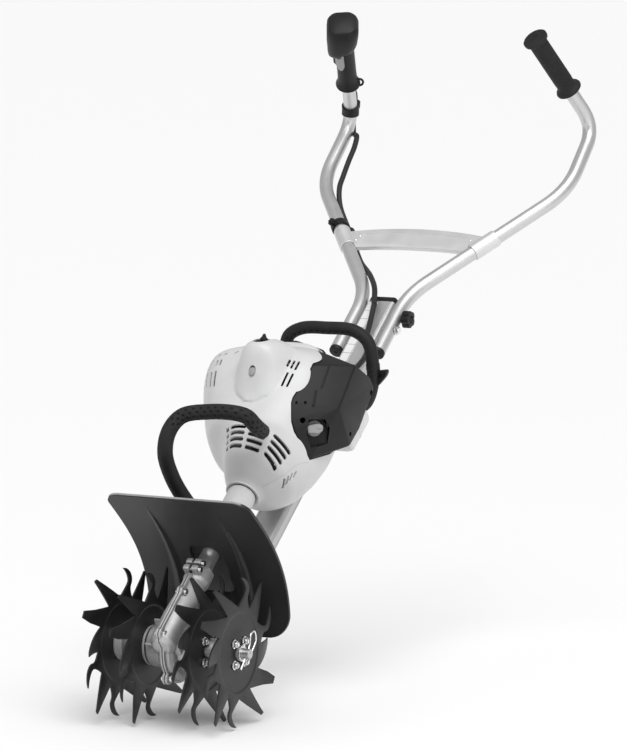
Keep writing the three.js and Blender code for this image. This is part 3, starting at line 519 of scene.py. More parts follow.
ALONG_FRAME = (FRAME_SLOPE - pi / 2, 0, 0, 60)
white_plastic = material("white_plastic", "white_plastic", grey(0.6), 0.4, variation=0.03, relief=0.08,
                         coat=0.1)
housing_black = material("housing_black", "black_plastic", grey(0.008), 0.44, variation=0.25, relief=0.25,
                         specular=0.28)
sheet_black = material("sheet_black", "black_plastic", grey(0.011), 0.46, variation=0.3, relief=0.2,
                       blotch=0.06)
grip_black = material("grip_black", "black_rubber", grey(0.013), 0.62, variation=0.3, relief=0.5,
                      grain=0.0009,
                      crevice_shade=0.9, specular=0.3)
cable_black = material("cable_black", "black_rubber", grey(0.007), 0.5, variation=0.3, relief=0.3)
part_grey = material("part_grey", "grey_plastic", grey(0.3), 0.5, variation=0.06, relief=0.15)
dark_grey = material("dark_grey", "grey_plastic", grey(0.06), 0.5, variation=0.1, relief=0.15)
tube_metal = material("tube_metal", "anodised_aluminium", grey(0.62), 0.38, 0.85, 0.03, grain=0.0012,
                      relief=0.06)
rail_metal = material("rail_metal", "anodised_aluminium", grey(0.55), 0.42, 0.8, 0.04, grain=0.0008,
                      relief=0.15,
                      stretch=ALONG_FRAME)
cast_metal = material("cast_metal", "cast_aluminium", grey(0.52), 0.5, 0.6, 0.12, grain=0.0014, relief=0.5,
                      crevice_shade=0.85)
plate_metal = material("plate_metal", "cast_aluminium", grey(0.72), 0.48, 0.75, 0.04, grain=0.001,
                       relief=0.15)
bright_steel = material("bright_steel", "steel", grey(0.85), 0.2, 1, 0.05, relief=0.08, crevice_shade=0.5)
dull_steel = material("dull_steel", "steel", grey(0.55), 0.35, 1, 0.12, relief=0.2, crevice_shade=0.5)
tine_paint = material("tine_paint", "dark_paint", grey(0.009), 0.46, variation=0.2, relief=0.3, blotch=0.02)
hot_paint = material("hot_paint", "dark_paint", grey(0.03), 0.6, variation=0.3, relief=0.4)
label_white = material("label_white", "white_plastic", grey(0.8), 0.35, variation=0.02, relief=0.03)
# Painted highlight: a lighter grey copy of the black plastic, for the lit top lip of the deflector.
lip_highlight_grey = material("lip_highlight_grey", "black_plastic", grey(0.3), 0.35, variation=0.1, relief=0.1)
pale_grey = material("pale_grey", "grey_plastic", grey(0.32), 0.45, variation=0.05, relief=0.12)
housing_pale = material("housing_pale", "grey_plastic", grey(0.62), 0.45, variation=0.04, relief=0.1)
tank_white = material("tank_white", "white_plastic", grey(0.7), 0.45, variation=0.05, relief=0.1)

# ---- Floor and light ----


def make_floor():
    half = 60
    mesh = bpy.data.meshes.new("floor")
    mesh.from_pydata([(-half, -half, 0), (half, -half, 0), (half, half, 0), (-half, half, 0)], [],
                     [(0, 1, 2, 3)])
    floor = bpy.data.objects.new("floor", mesh)
    pale = bpy.data.materials.new("floor")
    pale.use_nodes = True
    shader = pale.node_tree.nodes["Principled BSDF"]
    shader.inputs["Base Color"].default_value = (0.93, 0.93, 0.93, 1)
    shader.inputs["Roughness"].default_value = 0.9
    mesh.materials.append(pale)
    to_scene(floor)


LIT_POINT = Vector((0, 0, 0.5))


def area_light(name, power, size, location):
    data = bpy.data.lights.new(name, "AREA")
    data.energy = power
    data.shape = "RECTANGLE"
    data.size, data.size_y = size
    lamp = bpy.data.objects.new(name, data)
    lamp.location = location
    lamp.rotation_euler = (LIT_POINT - Vector(location)).to_track_quat("-Z", "Y").to_euler()
    to_scene(lamp)


def make_light():
    world = bpy.data.worlds.new("studio")
    world.use_nodes = True
    sky = world.node_tree.nodes["Background"]
    sky.inputs["Color"].default_value = (1, 1, 1, 1)
    sky.inputs["Strength"].default_value = 0.5
    bpy.context.scene.world = world
    sun = bpy.data.lights.new("sky_panel", "SUN")
    sun.energy = 2.0
    sun.angle = radians(50)
    lamp = bpy.data.objects.new("sky_panel", sun)
    lamp.rotation_euler = Vector((-0.35, 0.45, -1)).to_track_quat("-Z", "Y").to_euler()
    to_scene(lamp)
    area_light("side_panel", 9, (1.2, 1.8), (2.4, -1.2, 1.3))
    area_light("front_panel", 6, (1.4, 1.4), (-1.8, -2.6, 1.9))
    bpy.context.scene.view_settings.view_transform = "Standard"


make_floor()
make_light()

# ---- Small fastenings ----


def socket_head(radius, height):
    """A screw head about Z with a hexagonal socket."""
    head = rod("z", radius, 0, height, 32, edge=radius * 0.16)
    return cut(head, prism(circle(radius * 0.52, 6), height * 0.45, height + 1))


def hex_head(radius, height):
    """A hexagon head with turned corners and a washer under it."""
    blank = prism(circle(radius, 6), 1, height)
    shoulder = height - radius * 0.2
    chamfer = turned("z", [(0, -1), (radius, 0), (radius, shoulder), (radius * 0.8, height), (0, height)], 36)
    return join(common(blank, chamfer), ring("z", radius * 1.25, radius * 0.3, 0, 1.2, 36, edge=0.2))


# ---- Deflector ----

DEFLECTOR = {"half": 124, "thickness": 5, "top_corner": 25, "bottom_corner": 36, "ridge_x": 60,
             "ridge_height": 5}
DEFLECTOR_CURVE = ((-15, 233), (58, 174), (142, 112), (130.5, 1))
DEFLECTOR_LENGTH = 296


def smooth_step(value):
    value = min(max(value, 0), 1)
    return value * value * (3 - 2 * value)


def deflector_ridge(x, share):
    """How far the plate is pressed forwards: two ridges that grow towards the ground."""
    spread = 2.5 + 8 * smooth_step(share / 0.9)
    away = (abs(x) - DEFLECTOR["ridge_x"]) * (1 if x > 0 else -1)
    side = spread * (1.5 if away < 0 else 0.55)
    return DEFLECTOR["ridge_height"] * smooth_step((share - 0.05) / 0.5) * smooth_step(1 - abs(away) / side)


def deflector_at(t):
    """A point of the plate's middle line in the upright plane, and the way out of its front face."""
    p0, p1, p2, p3 = (Vector(point) for point in DEFLECTOR_CURVE)
    point = p0 * (1 - t) ** 3 + p1 * 3 * t * (1 - t) ** 2 + p2 * 3 * t**2 * (1 - t) + p3 * t**3
    tangent = (p1 - p0) * (1 - t) ** 2 + (p2 - p1) * 2 * t * (1 - t) + (p3 - p2) * t**2
    return point, Vector((-tangent.y, tangent.x)).normalized()


def corner_inset(corner, distance):
    """How far the side of a rounded corner lies inside, at a distance from the end."""
    return corner - sqrt(corner**2 - max(corner - distance, 0) ** 2)


def deflector_band(first, last, rows, inset, front, back):
    """Part of the plate between two shares of its curve, between two heights off its middle line."""
    columns = 160
    rings = []
    for row in range(rows + 1):
        t = first + (last - first) * (1 - cos(pi * row / rows)) / 2
        half = DEFLECTOR["half"] - inset
        half -= corner_inset(DEFLECTOR["top_corner"], t * DEFLECTOR_LENGTH)
        half -= corner_inset(DEFLECTOR["bottom_corner"], (1 - t) * DEFLECTOR_LENGTH)
        point, out = deflector_at(t)
        sides = []
        for off, way in ((front, 1), (back, -1)):
            for column in range(columns + 1):
                x = (2 * column / columns - 1) * half * way
                at = point + out * (off - deflector_ridge(x, t))
                sides.append(Vector((x, at.x, at.y)))
        rings.append(sides)
    return skin(rings)


def make_deflector():
    half_thick = DEFLECTOR["thickness"] / 2
    plate = deflector_band(0, 1, 100, 0, half_thick, -half_thick)
    turn = spin(FRAME_SLOPE - pi / 2, "X")
    slot_outline = softened([(-28, 22), (-29, -60), (-20, -70), (26, -68), (30, -52), (27, -36), (32, -22),
                             (28, -6), (33, 8), (28, 22)], 9, 4)
    slot = prism(slot_outline, 60, 240)
    plate = cut(plate, moved(slot, turn))
    piece("deflector_plate", plate, UPRIGHT, sheet_black, "deflector", sharp=50)
    lip_path = []
    for step in range(121):
        x = (2 * step / 120 - 1) * (DEFLECTOR["half"] - 12)
        beyond = max(abs(x) - (DEFLECTOR["half"] - DEFLECTOR["top_corner"]), 0)
        drop = DEFLECTOR["top_corner"] - sqrt(DEFLECTOR["top_corner"] ** 2 - beyond**2)
        point, out = deflector_at(min((drop + 1.2) / DEFLECTOR_LENGTH, 1))
        at = point + out * (half_thick - 1.4)
        lip_path.append(Vector((x, at.x, at.y)))
    # The lip is black plastic, coloured lighter grey as a painted highlight along the plate's top edge.
    detail("deflector_lip", sweep(lip_path, 2.1, 16, cap=1.5, first_side=(0, 1, 0)), UPRIGHT, lip_highlight_grey,
           "deflector")


make_deflector()

# ---- Tine stars ----

HOOK = [(10, 83), (14.5, 95), (10, 106), (3, 116), (9, 114), (16.5, 107), (20.5, 97), (20, 86)]
TEETH = [
    {"root": -1, "points": HOOK, "bend": 3, "curved": True},
    {"root": 28.5, "points": [(10, 127), (12.5, 126)], "bend": -3, "curved": False},
    {"root": 57, "points": [(angle, radius - 3) for angle, radius in HOOK], "bend": 4, "curved": True},
    {"root": 87, "points": [(2.5, 127), (6, 126)], "bend": -17, "curved": False},
    {"root": 118, "points": [(-2, 98), (-1, 119), (4.6, 119), (12, 96)], "bend": 9, "curved": False},
    {"root": 149.5, "points": [(-4, 127), (-1, 126)], "bend": 5, "curved": False},
]
PRESSED_RADIUS, PRESSED_FROM, PRESSED_DEPTH = 62, 33, 1.1
PRESS_RINGS = (35, 46, 54, 59, 60.5, 62, 63.5, 66)
BORE_RADIUS, STUD_HOLE_RADIUS = 13.4, 4.4
DISC_HALF_THICKNESS = 1.5


def polar(degrees, radius):
    """A point of the star: degrees from the top towards the back, and radius."""
    turn = radians(degrees)
    return Vector((radius * sin(turn), radius * cos(turn)))


def star_outline(phase):
    """The outline as (point, sideways bend of its tooth), each tooth's sides as finely spaced points."""
    outline = []
    for half in (0, 180):
        for i, tooth in enumerate(TEETH):
            following = TEETH[i + 1]["root"] if i + 1 < len(TEETH) else TEETH[0]["root"] + 180
            start = half + phase + tooth["root"]
            corners = [polar(start, ROOT_RADIUS)]
            corners += [polar(start + angle, radius) for angle, radius in tooth["points"]]
            corners.append(polar(half + phase + following, ROOT_RADIUS))
            flat = [Vector((*corner, 0)) for corner in corners]
            if tooth["curved"]:
                path = spline(flat[:5], 18)[:-1] + spline(flat[4:], 18)[:-1]
            else:
                path = [a.lerp(b, step / 7) for a, b in zip(flat, flat[1:]) for step in range(7)]
            bend = -tooth["bend"] if half else tooth["bend"]
            outline += [(point.to_2d(), bend) for point in path]
    return outline


def star_sheet(phase):
    """Flat triangles that fill the star round its bore and bolt holes, with how far each point is bent."""
    outline = star_outline(phase)
    points = [point for point, _ in outline]
    bends = {i: bend for i, (_, bend) in enumerate(outline)}
    edges = [(i, (i + 1) % len(points)) for i in range(len(points))]
    holes = [(Vector((0, 0)), BORE_RADIUS)] + [
        (polar(90 * i + 45, STUD_CIRCLE), STUD_HOLE_RADIUS) for i in range(4)]
    for centre, radius in holes:
        first, sides = len(points), 40 if radius > 10 else 16
        points += [Vector(corner) for corner in circle(radius, sides, centre)]
        edges += [(first + i, first + (i + 1) % sides) for i in range(sides)]
    for radius in PRESS_RINGS:
        points += [Vector(corner) for corner in circle(radius, 72)]
    verts, _, faces, vert_from, _, _ = delaunay_2d_cdt(points, edges, [], 0, 1e-4)
    border = [point for point, _ in outline]
    kept = []
    for face in faces:
        middle = sum((verts[i] for i in face), Vector((0, 0))) / len(face)
        in_hole = any((middle - centre).length < radius for centre, radius in holes)
        if not in_hole and inside(middle, border):
            kept.append(face)
    bend_of = [max((bends.get(i, 0) for i in origin), key=abs, default=0) for origin in vert_from]
    return verts, kept, bend_of


def inside(point, border):
    """True if a point is inside a closed outline."""
    crossings = False
    for a, b in zip(border, [*border[1:], border[0]]):
        if (a.y > point.y) != (b.y > point.y):
            if point.x < (b.x - a.x) * (point.y - a.y) / (b.y - a.y) + a.x:
                crossings = not crossings
    return crossings


def star(phase):
    """A star of pressed sheet: the middle is dished, the teeth bend sideways and thin towards their tips."""
    flat, faces, bends = star_sheet(phase)
    count = len(flat)
    verts = []
    for side in (1, -1):
        for point, bend in zip(flat, bends):
            radius = point.length
            reach = max(0, radius - ROOT_RADIUS - 1) / (TIP_RADIUS - ROOT_RADIUS)
            pressed = smooth_step((radius - PRESSED_RADIUS + 2) / 3) - 1
            dish = PRESSED_DEPTH * pressed * smooth_step((radius - PRESSED_FROM) / 3)
            half = DISC_HALF_THICKNESS * (1 - 0.25 * smooth_step(reach))
            verts.append((side * half + bend * reach**1.5 + dish, point.x, point.y))
    both = [tuple(face) for face in faces] + [tuple(count + i for i in reversed(face)) for face in faces]
    edges = dict.fromkeys(pair for face in faces for pair in zip(face, [*face[1:], face[0]]))
    walls = [(b, a, count + a, count + b) for a, b in edges if (b, a) not in edges]
    return bevelled(mesh_of(verts, both + walls), 0.5, 2, 60)


def make_stars():
    for name, side in (("left", -1), ("right", 1)):
        for where, x, phase in (("outer", OUTER_DISC_X, 0), ("inner", INNER_DISC_X, side * INNER_DISC_PHASE)):
            node = f"tine_star_{where}_{name}"
            piece(f"{node}_pressed", shifted(star(phase), side * x), UPRIGHT, tine_paint, node, sharp=40)


make_stars()

# ---- Hubs, axle and hitch pins ----

HITCH_X = 117
HITCH_TILT = radians(50)


def make_hub(name, side):
    inner, outer = INNER_DISC_X - 1.8, OUTER_DISC_X - 1.8
    profile = [(8.3, 45.2), (30, 45.2), (31, 46), (31, inner), (15, inner), (15, 70), (14.4, 77),
               (15, outer - 17),
               (18, outer - 14.5), (26.6, outer - 14), (27.5, outer - 13), (27.5, outer - 5),
               (26.8, outer - 4),
               (27.5, outer - 3), (27.5, outer), (12, outer), (12, 107), (11, 108), (8.3, 108), (8.3, 45.2)]
    tube = turned("x", profile, 72)
    webs = []
    for i in range(4):
        web = bevelled(block((inner + 6, -2, 12), (outer - 12, 2, 19)), 0.8, 2)
        webs.append(moved(web, spin(i * pi / 2, "X")))
    body = join(tube, *webs)
    piece(f"tine_hub_{name}_cast", moved(body, MIRROR[side]), UPRIGHT, cast_metal, f"tine_hub_{name}")

    bolts = []
    for i in range(4):
        turn = (i + 0.5) * pi / 2
        at = put(0, STUD_CIRCLE * cos(turn), STUD_CIRCLE * sin(turn))
        for x in (inner + 3.6, outer + 3.6):
            nut = shifted(moved(hex_head(5.8, 5.6), TURN_TO["x"]), x)
            stud = shifted(rod("x", 3.4, -8.5, 7.6, 24, edge=0.5), x)
            bolts.append(moved(join(nut, stud), at))
    detail(f"tine_bolts_{name}", moved(all_in_one(bolts), MIRROR[side]), UPRIGHT, bright_steel,
           f"tine_hub_{name}")
    detail(f"axle_washer_{name}", moved(ring("x", 12.5, 8.3, 108.6, 110.8, 48, edge=0.4), MIRROR[side]),
           UPRIGHT, bright_steel, "axle_shaft")


def hitch_pin():
    """A sprung clip of bright wire: one leg through the axle end, the other bent round it into a loop."""
    corners = [(-28, 0), (14, 0), (30, 7), (40, 0), (32, -13), (12, -13), (-6, -13)]
    path = spline([(0, y, z) for y, z in corners], 120)
    return sweep(path, 1.5, 14, cap=1.0, first_side=(1, 0, 0))


def make_axle():
    shaft = rod("x", AXLE_RADIUS, -AXLE_HALF_LENGTH, AXLE_HALF_LENGTH, 64, edge=1.6)
    turn = spin(HITCH_TILT, "X")
    holes = [moved(rod("-y", 2.1, -20, 20, 24), put(side * HITCH_X, 0, 0), turn) for side in (-1, 1)]
    dimples = [moved(turned("x", [(0, 120), (0.4, 121), (3, 125), (0, 125)], 24),
                     MIRROR[side]) for side in (-1, 1)]
    piece("axle_shaft_turned", cut(shaft, *holes, *dimples), UPRIGHT, dull_steel, "axle_shaft")
    for name, side in (("left", -1), ("right", 1)):
        make_hub(name, side)
        clip = moved(hitch_pin(), turn, put(side * HITCH_X, 0, 0))
        piece(f"hitch_pin_{name}_wire", clip, UPRIGHT, bright_steel, f"hitch_pin_{name}")


make_axle()

# ---- Worm gearbox: two castings bolted together on the middle plane ----

FLANGE_EARS = [(-63, 58), (-60, -28), (10, -56), (52, 22), (-14, 74)]
CLAMP_SCREWS = [102.5, 115.5]


def flange_plate():
    """The flange that follows the body, wavy because it swells round each ear."""
    discs = [prism(circle(9.5, 28, ear), -4.6, 4.6) for ear in FLANGE_EARS]
    rim = prism(circle(55, 64), -3.6, 3.6)
    neck = prism(softened([(-68, -34), (-16, -38), (-14, 96), (-70, 96)], 8), -3.6, 3.6)
    flat = join(rim, neck, *discs)
    upright_plane = Matrix(((0, 0, 1, 0), (1, 0, 0, 0), (0, 1, 0, 0), (0, 0, 0, 1)))
    return moved(flat, upright_plane)


def gearbox_body():
    """The outer shape, both halves as one."""
    drive = put(0, -DRIVE_OFFSET, 0)
    chamber = turned("x", [(0, -17), (30, -17), (43, -14), (49, -8), (50.5, 0), (49, 8), (43, 14), (30, 17),
                           (0, 17)])
    boss = turned("x",
                  [(0, -43.5), (29, -43.5), (32, -41), (33, -30), (35, -14), (35, 14), (33, 30), (32, 41),
                   (29, 43.5), (0, 43.5)])
    neck = moved(turned("z",
                        [(0, -40), (14, -40), (21, -33), (22, 20), (20, 60), (19, 92), (21, 99), (21, 122),
                         (0, 122)]), drive)
    shoulder = turned("z", [(0, -34), (24, -30), (27, 0), (25, 30), (20, 58), (0, 60)])
    lugs = []
    for along in CLAMP_SCREWS:
        lug = bevelled(block((-13, -DRIVE_OFFSET - 33, along - 5), (13, -DRIVE_OFFSET - 12, along + 5)), 3, 3)
        lugs.append(lug)
    stiffeners = []
    for side in (-1, 1):
        for turn_degrees in (70, 130, 250, 310):
            rib = block((side * 24 - 12, -1.6, 30), (side * 24 + 12, 1.6, 46))
            stiffeners.append(moved(rib, spin(radians(turn_degrees), "X")))
    return join(chamber, boss, neck, moved(shoulder, put(0, -26, 0)), flange_plate(), *lugs, *stiffeners)


def gearbox_room():
    """What is cut from the casting: axle bore, bearing seats, worm bore and the split in the clamp."""
    drive = put(0, -DRIVE_OFFSET, 0)
    return [
        rod("x", 36, -11, 11),
        rod("x", AXLE_RADIUS + 1.2, -60, 60),
        rod("x", 17.2, -60, -25),
        rod("x", 17.2, 25, 60),
        moved(rod("z", 12.5, -30, 100), drive),
        moved(rod("z", 14.5, 97, 130), drive),
        block((-2, -DRIVE_OFFSET - 40, 97), (2, -DRIVE_OFFSET, 130)),
    ]


def make_gearbox():
    body, room = gearbox_body(), gearbox_room()
    halfspace, split = 90, 0.45
    for name, low, high in (("left", -halfspace, -split), ("right", split, halfspace)):
        half = common(body.copy(), block((low, -150, -150), (high, 150, 150)))
        half = cast(cut(half, *(tool.copy() for tool in room)), 0.85, 3)
        piece(f"gearbox_{name}_casting", half, SLOPING, cast_metal, f"gearbox_housing_{name}", sharp=60)
    screws = []
    for y, z in FLANGE_EARS:
        screws.append(moved(socket_head(5.2, 5.5), TURN_TO["x"], put(4.4, y, z)))
        screws.append(moved(hex_head(5.2, 4.2), TURN_TO["x"], MIRROR[-1], put(-4.4, y, z)))
    for along in CLAMP_SCREWS:
        at = put(0, -DRIVE_OFFSET - 26, along)
        screws.append(moved(socket_head(4.6, 5), TURN_TO["x"], put(12.6, 0, 0), at))
        screws.append(moved(rod("x", 2.8, -14, 14, 24, edge=0.4), at))
    detail("gearbox_screws", all_in_one(screws), SLOPING, bright_steel, "gearbox_housing_right")
    for name, side in (("left", -1), ("right", 1)):
        race = turned("x",
                      [(8.4, 26.5), (11, 26.5), (11, 27.4), (14, 27.4), (14, 26.5), (16.7, 26.5), (16.7, 38),
                       (14, 38), (14, 37), (11, 37), (11, 38), (8.4, 38), (8.4, 26.5)], 64)
        piece(f"axle_bearing_{name}_race", moved(race, MIRROR[side]), UPRIGHT, bright_steel,
              f"axle_bearing_{name}")
        seal = turned("x", [(8.6, 38.4), (16.6, 38.4), (16.6, 41.5), (14, 42.4), (10, 41.4), (8.6, 42),
                            (8.6, 38.4)], 64)
        detail(f"axle_seal_{name}", moved(seal, MIRROR[side]), UPRIGHT, housing_black, f"axle_bearing_{name}")


make_gearbox()

# ---- Frame: rail, end cap, label strip, bracket ----


def on_rail(mesh):
    return shifted(mesh, y=RAIL_FRONT + RAIL_DEPTH / 2)


def make_rail():
    outline = rounded_rectangle(RAIL_WIDTH, RAIL_DEPTH, 6, 6)
    inner = rounded_rectangle(RAIL_WIDTH - 6, RAIL_DEPTH - 6, 3, 4)
    tools = [prism(inner, RAIL_BOTTOM - 5, RAIL_TOP + 5)]
    for x, y in ((18, -RAIL_DEPTH / 2), (-18, -RAIL_DEPTH / 2), (RAIL_WIDTH / 2, -7), (-RAIL_WIDTH / 2, -7),
                 (RAIL_WIDTH / 2, 7), (-RAIL_WIDTH / 2, 7)):
        tools.append(prism(circle(0.9, 8, (x, y)), RAIL_BOTTOM - 5, RAIL_TOP + 5))
    tools.append(shifted(rod("x", 4.4, -RAIL_WIDTH, RAIL_WIDTH, 32),
                         y=TUBE_OFFSET - RAIL_FRONT - RAIL_DEPTH / 2,
                         z=PIVOT_ALONG))
    tools.append(shifted(rod("x", 7, -RAIL_WIDTH, RAIL_WIDTH, 32), y=3, z=RAIL_BOTTOM + 16))
    rail = cut(prism(outline, RAIL_BOTTOM, RAIL_TOP), *tools)
    piece("frame_rail_extrusion", on_rail(rail), SLOPING, rail_metal, "frame_rail", sharp=20)

    lid = turned_prism(rounded_rectangle(RAIL_WIDTH, RAIL_DEPTH, 6, 6), RAIL_TOP + 0.3, RAIL_TOP + 12, 2.5)
    plug = prism(rounded_rectangle(RAIL_WIDTH - 7, RAIL_DEPTH - 7, 3, 4), RAIL_TOP - 14, RAIL_TOP + 1)
    piece("frame_end_cap_moulded", on_rail(join(lid, plug)), SLOPING, housing_black, "frame_end_cap")


def turned_prism(outline, low, high, edge):
    """A prism whose top edge is rounded over."""
    rings = [[Vector((x, y, low)) for x, y in outline]]
    for step in range(5):
        turn = pi / 2 * step / 4
        inset = edge * (1 - cos(turn))
        level = high - edge + edge * sin(turn)
        rings.append([Vector((*shrunk_point(point, inset), level)) for point in outline])
    return skin(rings)


def shrunk_point(point, inset):
    """An outline point moved towards the middle by about the same distance along both sides."""
    x, y = point
    return x - copysign(min(inset, abs(x)), x), y - copysign(min(inset, abs(y)), y)


def make_label():
    """A plain pale strip on the rail's upper face, with a ruled border and no lettering."""
    x0, x1, low, high = -22, -4, 655, 846
    face = RAIL_FRONT
    sheet = bevelled(block((x0, face - 0.45, low), (x1, face - 0.05, high)), 0.15, 1)
    detail("rail_label", sheet, SLOPING, label_white, "frame_rail")
    rules = [block((x0 + 1, face - 0.6, low + 2), (x0 + 1.6, face - 0.3, high - 2)),
             block((x1 - 1.6, face - 0.6, low + 2), (x1 - 1, face - 0.3, high - 2))]
    rules += [block((x0 + 1, face - 0.6, level), (x1 - 1, face - 0.3, level + 0.6))
              for level in range(low + 2, high, 21)]
    detail("rail_label_rules", all_in_one(rules), SLOPING, dark_grey, "frame_rail")


def make_bracket():
    collar = turned("z", [(0, 164), (24, 164), (24, 184), (22, 186), (0, 186)], 64)
    # The plate is made wide and painted dark so that the deflector's slot shows dark behind it: the bracket
    # is taken as dark paint, and its wide dark plate also stands in for the shade behind the slot.
    plate = bevelled(block((-44, -76, 161), (44, 46, 166)), 1.5, 2)
    web = bevelled(block((-9, -22, 164), (9, RAIL_FRONT - 0.3, 184)), 1.5, 2)
    foot = bevelled(block((-21, RAIL_FRONT - 7, 170), (21, RAIL_FRONT - 0.3, 236)), 1.5, 2)
    ribs = [bevelled(block((x - 1.5, -30, 165), (x + 1.5, -10, 178)), 0.5, 1) for x in (-22, 22)]
    bore = rod("z", 14.6, 150, 200)
    body = join(shifted(collar, y=-DRIVE_OFFSET), plate, web, foot, *ribs)
    body = cut(body, shifted(bore, y=-DRIVE_OFFSET))
    piece("frame_bracket_plate", body, SLOPING, hot_paint, "frame_bracket")
    screws = []
    for along in (200, 224):
        for x in (-13, 13):
            screws.append(stand_at(hex_head(5, 4.4), (x, RAIL_FRONT - 7, along), (0, -1, 0)))
    detail("frame_bracket_screws", all_in_one(screws), SLOPING, bright_steel, "frame_bracket")


make_rail()
make_label()
make_bracket()

# ---- Drive tube and sleeve ----


def make_drive():
    tube = ring("z", 14, 11, 98, 298, 64, edge=0.6)
    piece("drive_tube_drawn", tube, DRIVE, tube_metal, "drive_tube")
    profile = [(14.3, 187), (22, 187), (23, 188), (23, 199), (22.4, 200), (22.4, 228), (23, 229), (23, 291),
               (22.5, 292), (14.3, 292), (14.3, 187)]
    piece("drive_sleeve_moulded", turned("z", profile, 96), DRIVE, white_plastic, "drive_sleeve")
    worm = worm_thread()
    piece("worm_shaft_cut", worm, DRIVE, dull_steel, "worm_shaft")


def worm_thread():
    shaft = rod("z", 5, -30, 326, 32, edge=0.8)
    core = turned("z", [(0, -26), (7.4, -26), (7.6, -24), (7.6, 24), (7.4, 26), (0, 26)], 32)
    turns, pitch = 8, 5
    path = [Vector((7.9 * cos(a), 7.9 * sin(a), -20 + pitch * a / (2 * pi)))
            for a in (2 * pi * i / 24 for i in range(24 * turns + 1))]
    return join(shaft, core, sweep(path, 1.7, 8))


make_drive()

# ---- Engine covers ----

SHROUD_STATIONS = (293, 299, 307, 321, 335, 348, 360, 374, 412, 460, 505, 532, 548)
SHROUD = {
    "left": (26, 29, 34, 40, 44, 49, 63, 88, 108, 125, 132, 126, 112),
    "right": (26.5, 33, 47, 69, 80, 88, 93, 96, 101, 103, 101, 96, 90),
    "front": (26.5, 33, 47, 69, 80, 88, 93, 98, 106, 116, 114, 98, 84),
    "back": (26.5, 33, 46, 64, 74, 80, 79, 78, 70, 49, 48, 47, 46),
    "power": (2, 2, 2, 2, 2, 2, 2.1, 2.3, 2.8, 3.3, 3.5, 3.3, 3),
}
BULGE_STATIONS = (398, 412, 437, 468, 494, 516, 530)
BULGE = {
    "left": (8, 25, 35, 39, 38, 32, 18),
    "right": (8, 27, 38, 43, 43, 36, 20),
    "front": (2, 13, 35, 60, 50, 29, 6),
    "back": (10, 20, 30, 30, 30, 30, 20),
    "power": (2, 2, 2.1, 2.2, 2.2, 2.1, 2),
}
BULGE_HEIGHT = 100
BULGE_LIMIT = 190.0
BULGE_FILLET = (4, 15)


def along_stations(stations, values, at):
    """A value between stations, on a smooth curve through them."""
    last = len(stations) - 1
    if at <= stations[0]:
        return values[0]
    if at >= stations[-1]:
        return values[-1]
    k = max(i for i in range(last) if stations[i] <= at)
    slope = [0.0] * (last + 1)
    for i in range(last + 1):
        a, b = max(i - 1, 0), min(i + 1, last)
        slope[i] = (values[b] - values[a]) / (stations[b] - stations[a])
    step = stations[k + 1] - stations[k]
    t = (at - stations[k]) / step
    return ((2 * t**3 - 3 * t**2 + 1) * values[k] + (t**3 - 2 * t**2 + t) * step * slope[k]
            + (3 * t**2 - 2 * t**3) * values[k + 1] + (t**3 - t**2) * step * slope[k + 1])


def section_at(body, stations, at):
    return {key: along_stations(stations, values, at) for key, values in body.items()}


def in_section(section, x, off):
    """Below 1 inside a superellipse section about its own centre; off is towards the front."""
    across = abs(x) / section["left" if x < 0 else "right"]
    upright = abs(off) / section["front" if off > 0 else "back"]
    return across ** section["power"] + upright ** section["power"]


def shroud_radius(turn, along):
    """Distance from the drive line to the shroud. turn is from the front towards +X."""
    x, off = sin(turn), cos(turn)
    main = section_at(SHROUD, SHROUD_STATIONS, along)
    base = in_section(main, x, off) ** (-1 / main["power"])
    if off < 0.6 or not BULGE_STATIONS[0] < along < BULGE_STATIONS[-1]:
        return base
    bulge = section_at(BULGE, BULGE_STATIONS, along)
    reach = BULGE_HEIGHT * off
    if in_section(bulge, x * reach, off * reach - BULGE_HEIGHT) >= 1:
        return base
    low, high = reach, BULGE_LIMIT
    for _ in range(18):
        middle = (low + high) / 2
        if in_section(bulge, x * middle, off * middle - BULGE_HEIGHT) < 1:
            low = middle
        else:
            high = middle
    fillet = BULGE_FILLET[0] + (BULGE_FILLET[1] - BULGE_FILLET[0]) * smooth_step((turn + 0.35) / 0.6)
    overlap = max(fillet - abs(base - low), 0) / fillet
    return max(base, low) + overlap * overlap * fillet / 4


def shroud_point(turn, along, lift=0.0):
    radius = shroud_radius(turn, along) + lift
    return Vector((radius * sin(turn), -radius * cos(turn), along))


COVER_WALL = 2.8
COVER_END = 548


def cover_shell():
    """The cover as one thin wall, open at both ends."""
    count, rows = 240, 150
    outer, inner = [], []
    for row in range(rows + 1):
        along = SHROUD_STATIONS[0] + (COVER_END - SHROUD_STATIONS[0]) * row / rows
        turns = even_turns(count)
        outer.append([shroud_point(turn, along) for turn in turns])
        inner.append([shroud_point(turn, along, -COVER_WALL) for turn in turns])
    return skin(outer + inner[::-1], loop=True)


SLOT_REACH = 14


def sector_slot(turn_low, turn_high, along_low, along_high, width):
    """A slot tool that runs round the cover between two angles, from one level to another."""
    rings = []
    for step in range(13):
        share = step / 12
        turn = radians(turn_low + (turn_high - turn_low) * share)
        along = along_low + (along_high - along_low) * share
        narrow = width / 2 * (0.55 if step in (0, 12) else 1)
        radius = shroud_radius(turn, along)
        inside_wall, outside_wall = radius - SLOT_REACH, radius + SLOT_REACH
        corners = [(inside_wall, along - narrow), (outside_wall, along - narrow),
                   (outside_wall, along + narrow),
                   (inside_wall, along + narrow)]
        rings.append([Vector((r * sin(turn), -r * cos(turn), z)) for r, z in corners])
    return skin(rings)


